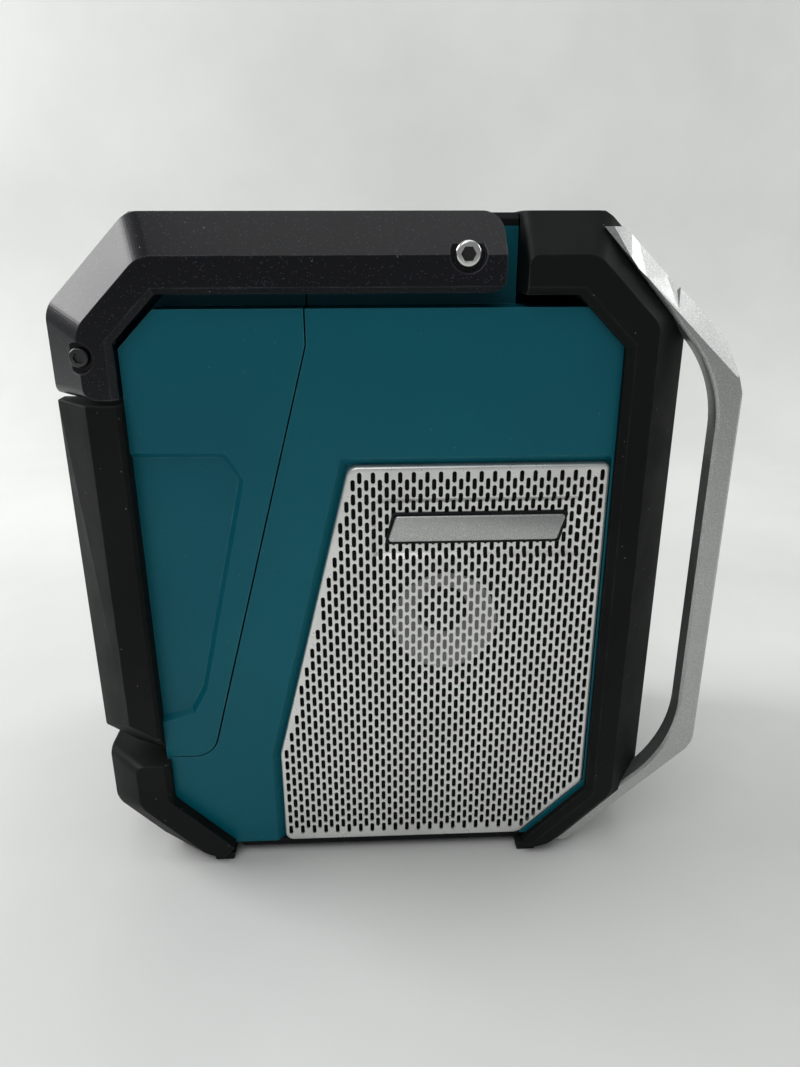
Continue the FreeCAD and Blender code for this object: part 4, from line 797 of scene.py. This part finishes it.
class RADIO_OT_grilles(bpy.types.Operator):
    """Pressed and perforated grille sheet on each flank"""

    bl_idname = "radio.grilles"
    bl_label = "Grilles"

    corner_rounds = (4.0, 6.0, 6.0, 2.5, 5.0, 5.0)      # in mm, from the lower rear corner on
    inner_round = 0.4           # least round inside the sheet, in mm
    least_round = 0.2 * MM
    roll_steps = 5
    end_steps = 5
    field_round = 1.6 * MM
    field_steps = 3
    layer = 0.01 * MM           # last layer of the field's tool
    rim_share = 0.75            # part of the rolled edge that slots keep clear of
    backing_share = 0.6         # part of the sheet by which the field's back is wider
    below = 1 * MM              # the inside of the sheet starts below its foot
    through = 2 * MM            # cutting tools pass through by this much
    cloth_gap = 0.6 * MM
    cloth_low, cloth_high = 0.05 * MM, 0.35 * MM

    def execute(self, context):
        for name, side in SIDES.items():
            self.sheet(name, side)
        return {"FINISHED"}

    def outline(self, node):
        s = sizes()
        low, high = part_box(node)
        return [
            (low.x, low.z),
            (high.x - s.grille_cut, low.z),
            (high.x, low.z + s.grille_cut),
            (high.x, high.z),
            (low.x + s.grille_slant_back, high.z),
            (low.x, s.grille_bend),
        ]

    def loops(self, corners, side, floor, face, roll, shrunk):
        """Outline loops from the grille's floor up over its rolled edge."""
        radii = [max(self.inner_round, part - shrunk / MM) * MM for part in self.corner_rounds]
        levels = [(0.0, floor), (0.0, face - roll)]
        for step in range(1, self.roll_steps + 1):
            angle = math.pi / 2 * step / self.roll_steps
            levels.append((roll * (1 - math.cos(angle)), face - roll + roll * math.sin(angle)))
        made = []
        for inset, level in levels:
            ring = [max(self.least_round, radius - inset) for radius in radii]
            spots = rounded(shrink(corners, shrunk + inset), ring)
            made.append([(x, side * level, z) for x, z in spots])
        return made

    def field(self, side, outer, depth, grow, name):
        """A block with sloped walls that presses the field into the sheet."""
        s = sizes()
        slope = s.field_slope
        low_x, high_x = s.field_back - grow, s.field_front + grow
        low_z, high_z = s.field_low - grow, s.field_high + grow
        levels = ((outer + slope, -slope), (outer, 0.0), (outer - depth, slope),
                  (outer - depth - self.layer, slope))
        loops = []
        for level, inset in levels:
            corners = [(low_x + inset, low_z + inset), (high_x - inset, low_z + inset),
                       (high_x - inset, high_z - inset), (low_x + inset, high_z - inset)]
            spots = rounded(corners, [self.field_round] * 4, self.field_steps)
            loops.append([(x, side * level, z) for x, z in spots])
        return stacked_loops(name, loops)

    def slots(self, corners, side, floor, face):
        """Every slot of the staggered pattern as one mesh of closed prisms."""
        s = sizes()
        margin = shrink(corners, s.rolled * self.rim_share)
        half_wide, half_tall = s.slot_wide / 2, s.slot_tall / 2
        straight = half_tall - half_wide
        builder = bmesh.new()
        low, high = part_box("speaker_grille_right")
        column = 0
        x = low.x + s.column_step
        while x < high.x:
            z = low.z + s.row_step * (0.5 if column % 2 else 1.0)
            while z < high.z:
                if self.inside(margin, x, z, half_wide, half_tall):
                    self.prism(builder, x, z, half_wide, straight, side, floor, face)
                z += s.row_step
            x += s.column_step
            column += 1
        bmesh.ops.recalc_face_normals(builder, faces=builder.faces)
        return built(builder, "slots")

    def inside(self, margin, x, z, half_wide, half_tall):
        """Whether a slot lies within the margin with all its corners."""
        for dx, dz in ((-half_wide, -half_tall), (half_wide, -half_tall),
                       (half_wide, half_tall), (-half_wide, half_tall)):
            spot = Vector((x + dx, z + dz))
            for start, end in zip(margin, margin[1:] + margin[:1]):
                along = Vector(end) - Vector(start)
                away = spot - Vector(start)
                if along.x * away.y - along.y * away.x < 0:
                    return False
        return True

    def prism(self, builder, x, z, radius, straight, side, floor, face):
        """One closed slot with round ends."""
        ring = []
        for top in (1, -1):
            for step in range(self.end_steps + 1):
                angle = math.pi * step / self.end_steps + (0 if top > 0 else math.pi)
                ring.append((x + radius * math.cos(angle),
                             z + top * straight + radius * math.sin(angle)))
        rows = [[builder.verts.new((a, side * level, b)) for a, b in ring]
                for level in (floor, face)]
        count = len(ring)
        for index in range(count):
            after = (index + 1) % count
            builder.faces.new((rows[0][index], rows[0][after], rows[1][after], rows[1][index]))
        builder.faces.new(list(reversed(rows[0])))
        builder.faces.new(rows[1])

    def sheet(self, name, side):
        s = sizes()
        node = "speaker_grille_" + name
        floor, face = reach_of(node)
        corners = self.outline(node)
        piece = stacked_loops("grille_" + name, self.loops(corners, side, floor, face, s.rolled, 0))
        inner = stacked_loops("hollow", self.loops(corners, side, floor - self.below, face - s.sheet,
                                                   s.rolled - s.sheet, s.sheet))
        wider = s.sheet * self.backing_share
        carve(inner, self.field(side, face, s.field_deep + s.sheet, wider, "backing"))
        carve(piece, inner)
        carve(piece, self.field(side, face, s.field_deep, 0, "field"))
        carve(piece, self.slots(corners, side, floor - self.through, face + self.through))
        shade_smooth(piece)
        settle(piece, ROOT, "grille_sheet")
        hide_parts(node)
        self.cloth(name, side, corners, floor)

    def cloth(self, name, side, corners, floor):
        """Black cloth on the floor of the recess, with a round hole at the speaker."""
        s = sizes()
        middle = middle_of("speaker_frame_right")
        radius = edge("speaker_surround_right", 1, 2) - middle[1]
        outline = shrink(corners, s.sheet + self.cloth_gap)
        levels = (floor + self.cloth_low, floor + self.cloth_high)
        piece = stacked_loops("cloth_" + name, [[(x, side * y, z) for x, z in outline] for y in levels])
        hole = [circle(middle, radius, side * level, s.turns)
                for level in (floor - self.through, floor + self.through)]
        carve(piece, stacked_loops("hole", hole))
        settle(piece, ROOT, "cloth")


class RADIO_OT_plates(bpy.types.Operator):
    """Bare plates in the grilles' pressed fields"""

    bl_idname = "radio.plates"
    bl_label = "Bare plates"

    gap = 0.02 * MM
    back_thick, back_grow = 1.0 * MM, 1.4 * MM
    thick = 0.9 * MM
    corner_round, corner_steps = 1.4 * MM, 5
    edge_round = 0.35 * MM

    def execute(self, context):
        s = sizes()
        for name, side in SIDES.items():
            seat = reach_of("speaker_grille_" + name)[1] - s.field_deep + self.gap
            self.plate("plate_back_" + name, side, seat, self.back_thick, self.back_grow,
                       "black_plastic")
            self.plate("plate_" + name, side, seat + self.back_thick, self.thick, 0.0,
                       "silver_paint")
        return {"FINISHED"}

    def plate(self, name, side, seat, thick, grow, finish):
        s = sizes()
        middle_x = (s.field_back + s.field_front) / 2
        middle_z = (s.field_low + s.field_high) / 2
        wide, tall = s.plate_wide / 2 + grow, s.plate_tall / 2 + grow
        lean = s.plate_lean / 2
        corners = [(middle_x - wide - lean, middle_z - tall), (middle_x + wide - lean, middle_z - tall),
                   (middle_x + wide + lean, middle_z + tall), (middle_x - wide + lean, middle_z + tall)]
        top = seat + thick
        loops = []
        for inset, level in ((0, seat), (0, top - self.edge_round), (self.edge_round, top)):
            spots = rounded(shrink(corners, inset), [self.corner_round] * 4, self.corner_steps)
            loops.append([(x, side * level, z) for x, z in spots])
        piece = stacked_loops(name, loops)
        shade_smooth(piece)
        settle(piece, ROOT, finish)


class RADIO_OT_bolts(bpy.types.Operator):
    """Pivot bolts and grip screws with hexagon sockets; a dark hexagon in each pivot socket is painted shade"""

    bl_idname = "radio.bolts"
    bl_label = "Bolts"

    head = 3.2 * MM
    # the head's crown: share of its radius, and drop below its top
    crown = ((1, 0.9 * MM), (0.96, 0.45 * MM), (0.86, 0.1 * MM), (0.78, 0.0))
    shank_share = 0.6
    socket_over = 1 * MM
    # the dark floor is a painted shade disc inside the socket
    floor_share = 0.98          # the dark floor's width, as a share of the socket's
    floor_low, floor_high = -0.2 * MM, 0.5 * MM
    screw_long, screw_shank = 30 * MM, 2.1 * MM
    screw_socket, screw_deep = 1.9 * MM, 1.2 * MM

    def execute(self, context):
        s = sizes()
        place = frame_joint("handle_fold")["pos_m"]
        pivot = (place[0], place[2])
        for name, side in SIDES.items():
            node = "pivot_bolt_" + name
            inner, outer = reach_of(node)
            radius = (edge(node, 1, 0) - edge(node, 0, 0)) / 2
            piece = self.bolt(node + "_turned", pivot, side, inner, outer, radius,
                              self.shank_share * radius, s.bolt_socket, s.socket_deep)
            settle(piece, ROOT, "bright_steel")
            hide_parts(node)
            # a dark hexagon at the socket's floor paints the shade inside the socket
            deep = outer - s.socket_deep
            floor = self.hexagon("socket_floor_" + name, pivot, side,
                                 s.bolt_socket * self.floor_share, deep + self.floor_low,
                                 deep + self.floor_high)
            settle(floor, ROOT, "cap_black")
        low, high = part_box("grip_screws")
        middle = middle_of("grip_screws")
        radius = (high.x - low.x) / 2
        for name, side in SIDES.items():
            piece = self.bolt("grip_screw_" + name, middle, side, high.y - self.screw_long, high.y,
                              radius, self.screw_shank, self.screw_socket, self.screw_deep)
            settle(piece, "handle", "dark_steel")
        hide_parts("grip_screws")
        return {"FINISHED"}

    def bolt(self, name, middle, side, inner, outer, radius, shank, socket, deep):
        """A turned bolt along Y with a hexagon socket."""
        under = outer - self.head
        profile = [(shank, inner), (shank, under), (radius, under)]
        profile += [(radius * share, outer - drop) for share, drop in self.crown]
        loops = [circle(middle, wide, side * level, sizes().turns) for wide, level in profile]
        piece = stacked_loops(name, loops)
        carve(piece, self.hexagon("socket", middle, side, socket, outer - deep,
                                  outer + self.socket_over))
        shade_smooth(piece)
        return piece

    def hexagon(self, name, middle, side, half, low, high):
        """A hexagon bar along Y; half is half its width over the flats."""
        reach = half / math.cos(math.pi / 6)
        return stacked_loops(name, [circle(middle, reach, side * level, 6) for level in (low, high)])


class RADIO_OT_panel_print(bpy.types.Operator):
    """Numbers and signs on the front buttons and the display"""

    bl_idname = "radio.panel_print"
    bl_label = "Panel print"

    proud = 0.06 * MM
    number_tall, sign_tall, letter_tall = 5.2 * MM, 6.5 * MM, 5.0 * MM
    power_round, power_half, power_steps = 2.1 * MM, 0.28 * MM, 24
    power_ends = (125, 415)                         # in degrees
    stroke_low, stroke_high = 0.2 * MM, 2.9 * MM
    # text, name, height, and place across and up from the display's middle
    readings = (("98.5", "reading_large", 17 * MM, 6 * MM, -1 * MM),
                ("12:30", "reading_small", 6 * MM, -24 * MM, 8 * MM))

    def execute(self, context):
        for index in range(1, 5):
            node = "preset_button_%d" % index
            self.words(str(index), node, "number_%d" % index, self.number_tall, "print_white")
        self.words("+", "tune_up_button", "sign_up", self.sign_tall, "print_white")
        self.words("-", "tune_down_button", "sign_down", self.sign_tall, "print_white")
        self.words("M", "mode_button", "sign_mode", self.letter_tall, "print_white")
        self.power_sign()
        for text, name, tall, across, up in self.readings:
            self.words(text, "display_module", name, tall, "print_dark", ROOT, across, up)
        return {"FINISHED"}

    def words(self, text, node, name, tall, finish, body=None, across=0.0, up=0.0):
        """A short text on the front face of a CAD node."""
        curve = bpy.data.curves.new(name, "FONT")
        curve.body = text
        curve.size = tall
        curve.align_x = "CENTER"
        curve.align_y = "CENTER"
        curve.extrude = self.proud
        holder = new_object(name + "_curve", curve)
        depsgraph = bpy.context.evaluated_depsgraph_get()
        mesh = bpy.data.meshes.new_from_object(holder.evaluated_get(depsgraph))
        bpy.data.objects.remove(holder)
        if not mesh.polygons:
            raise RuntimeError("the text %s came out empty" % name)
        low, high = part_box(node)
        middle_y, middle_z = (low.y + high.y) / 2 + across, (low.z + high.z) / 2 + up
        for vertex in mesh.vertices:
            a, b, c = vertex.co
            vertex.co = (high.x + c, middle_y + a, middle_z + b)
        piece = new_object(name, mesh)
        settle(piece, body or node, finish)

    def power_sign(self):
        """An open ring with a stroke on the power button."""
        low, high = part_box("power_button")
        middle_y, middle_z = (low.y + high.y) / 2, (low.z + high.z) / 2
        wide = self.power_half
        start, end = (math.radians(part) for part in self.power_ends)
        builder = bmesh.new()
        rows = []
        for step in range(self.power_steps + 1):
            angle = start + (end - start) * step / self.power_steps
            rows.append([builder.verts.new((high.x + self.proud, middle_y + r * math.cos(angle),
                                            middle_z + r * math.sin(angle)))
                         for r in (self.power_round - wide, self.power_round + wide)])
        for low_row, high_row in zip(rows, rows[1:]):
            builder.faces.new((low_row[0], low_row[1], high_row[1], high_row[0]))
        stroke = [(-wide, self.stroke_low), (wide, self.stroke_low),
                  (wide, self.stroke_high), (-wide, self.stroke_high)]
        builder.faces.new([builder.verts.new((high.x + self.proud, middle_y + a, middle_z + b))
                           for a, b in stroke])
        bmesh.ops.recalc_face_normals(builder, faces=builder.faces)
        settle(built(builder, "sign_power"), "power_button", "print_white")


class RADIO_PT_panel(bpy.types.Panel):
    """The radio's operators, in the order in which they run"""

    bl_label = "Jobsite radio"
    bl_idname = "RADIO_PT_panel"
    bl_space_type = "VIEW_3D"
    bl_region_type = "UI"
    bl_category = "Radio"

    def draw(self, context):
        for operator in OPERATORS:
            self.layout.operator(operator.bl_idname)
        for name in RadioSizes.__annotations__:
            self.layout.prop(context.scene.radio_sizes, name)
        for name in RadioColours.__annotations__:
            self.layout.prop(context.scene.radio_colours, name)


OPERATORS = (
    RADIO_OT_stage,
    RADIO_OT_finishes,
    RADIO_OT_bumpers,
    RADIO_OT_guards,
    RADIO_OT_grilles,
    RADIO_OT_plates,
    RADIO_OT_bolts,
    RADIO_OT_panel_print,
)
CLASSES = (RadioSizes, RadioColours, *OPERATORS, RADIO_PT_panel)


def register():
    for made in CLASSES:
        bpy.utils.register_class(made)
    bpy.types.Scene.radio_sizes = PointerProperty(type=RadioSizes)
    bpy.types.Scene.radio_colours = PointerProperty(type=RadioColours)


def unregister():
    del bpy.types.Scene.radio_colours
    del bpy.types.Scene.radio_sizes
    for made in reversed(CLASSES):
        bpy.utils.unregister_class(made)


def main():
    register()
    bpy.ops.radio.stage()
    bpy.ops.radio.finishes()
    bpy.ops.radio.bumpers()
    bpy.ops.radio.guards()
    bpy.ops.radio.grilles()
    bpy.ops.radio.plates()
    bpy.ops.radio.bolts()
    bpy.ops.radio.panel_print()


if __name__ == "__main__":
    main()
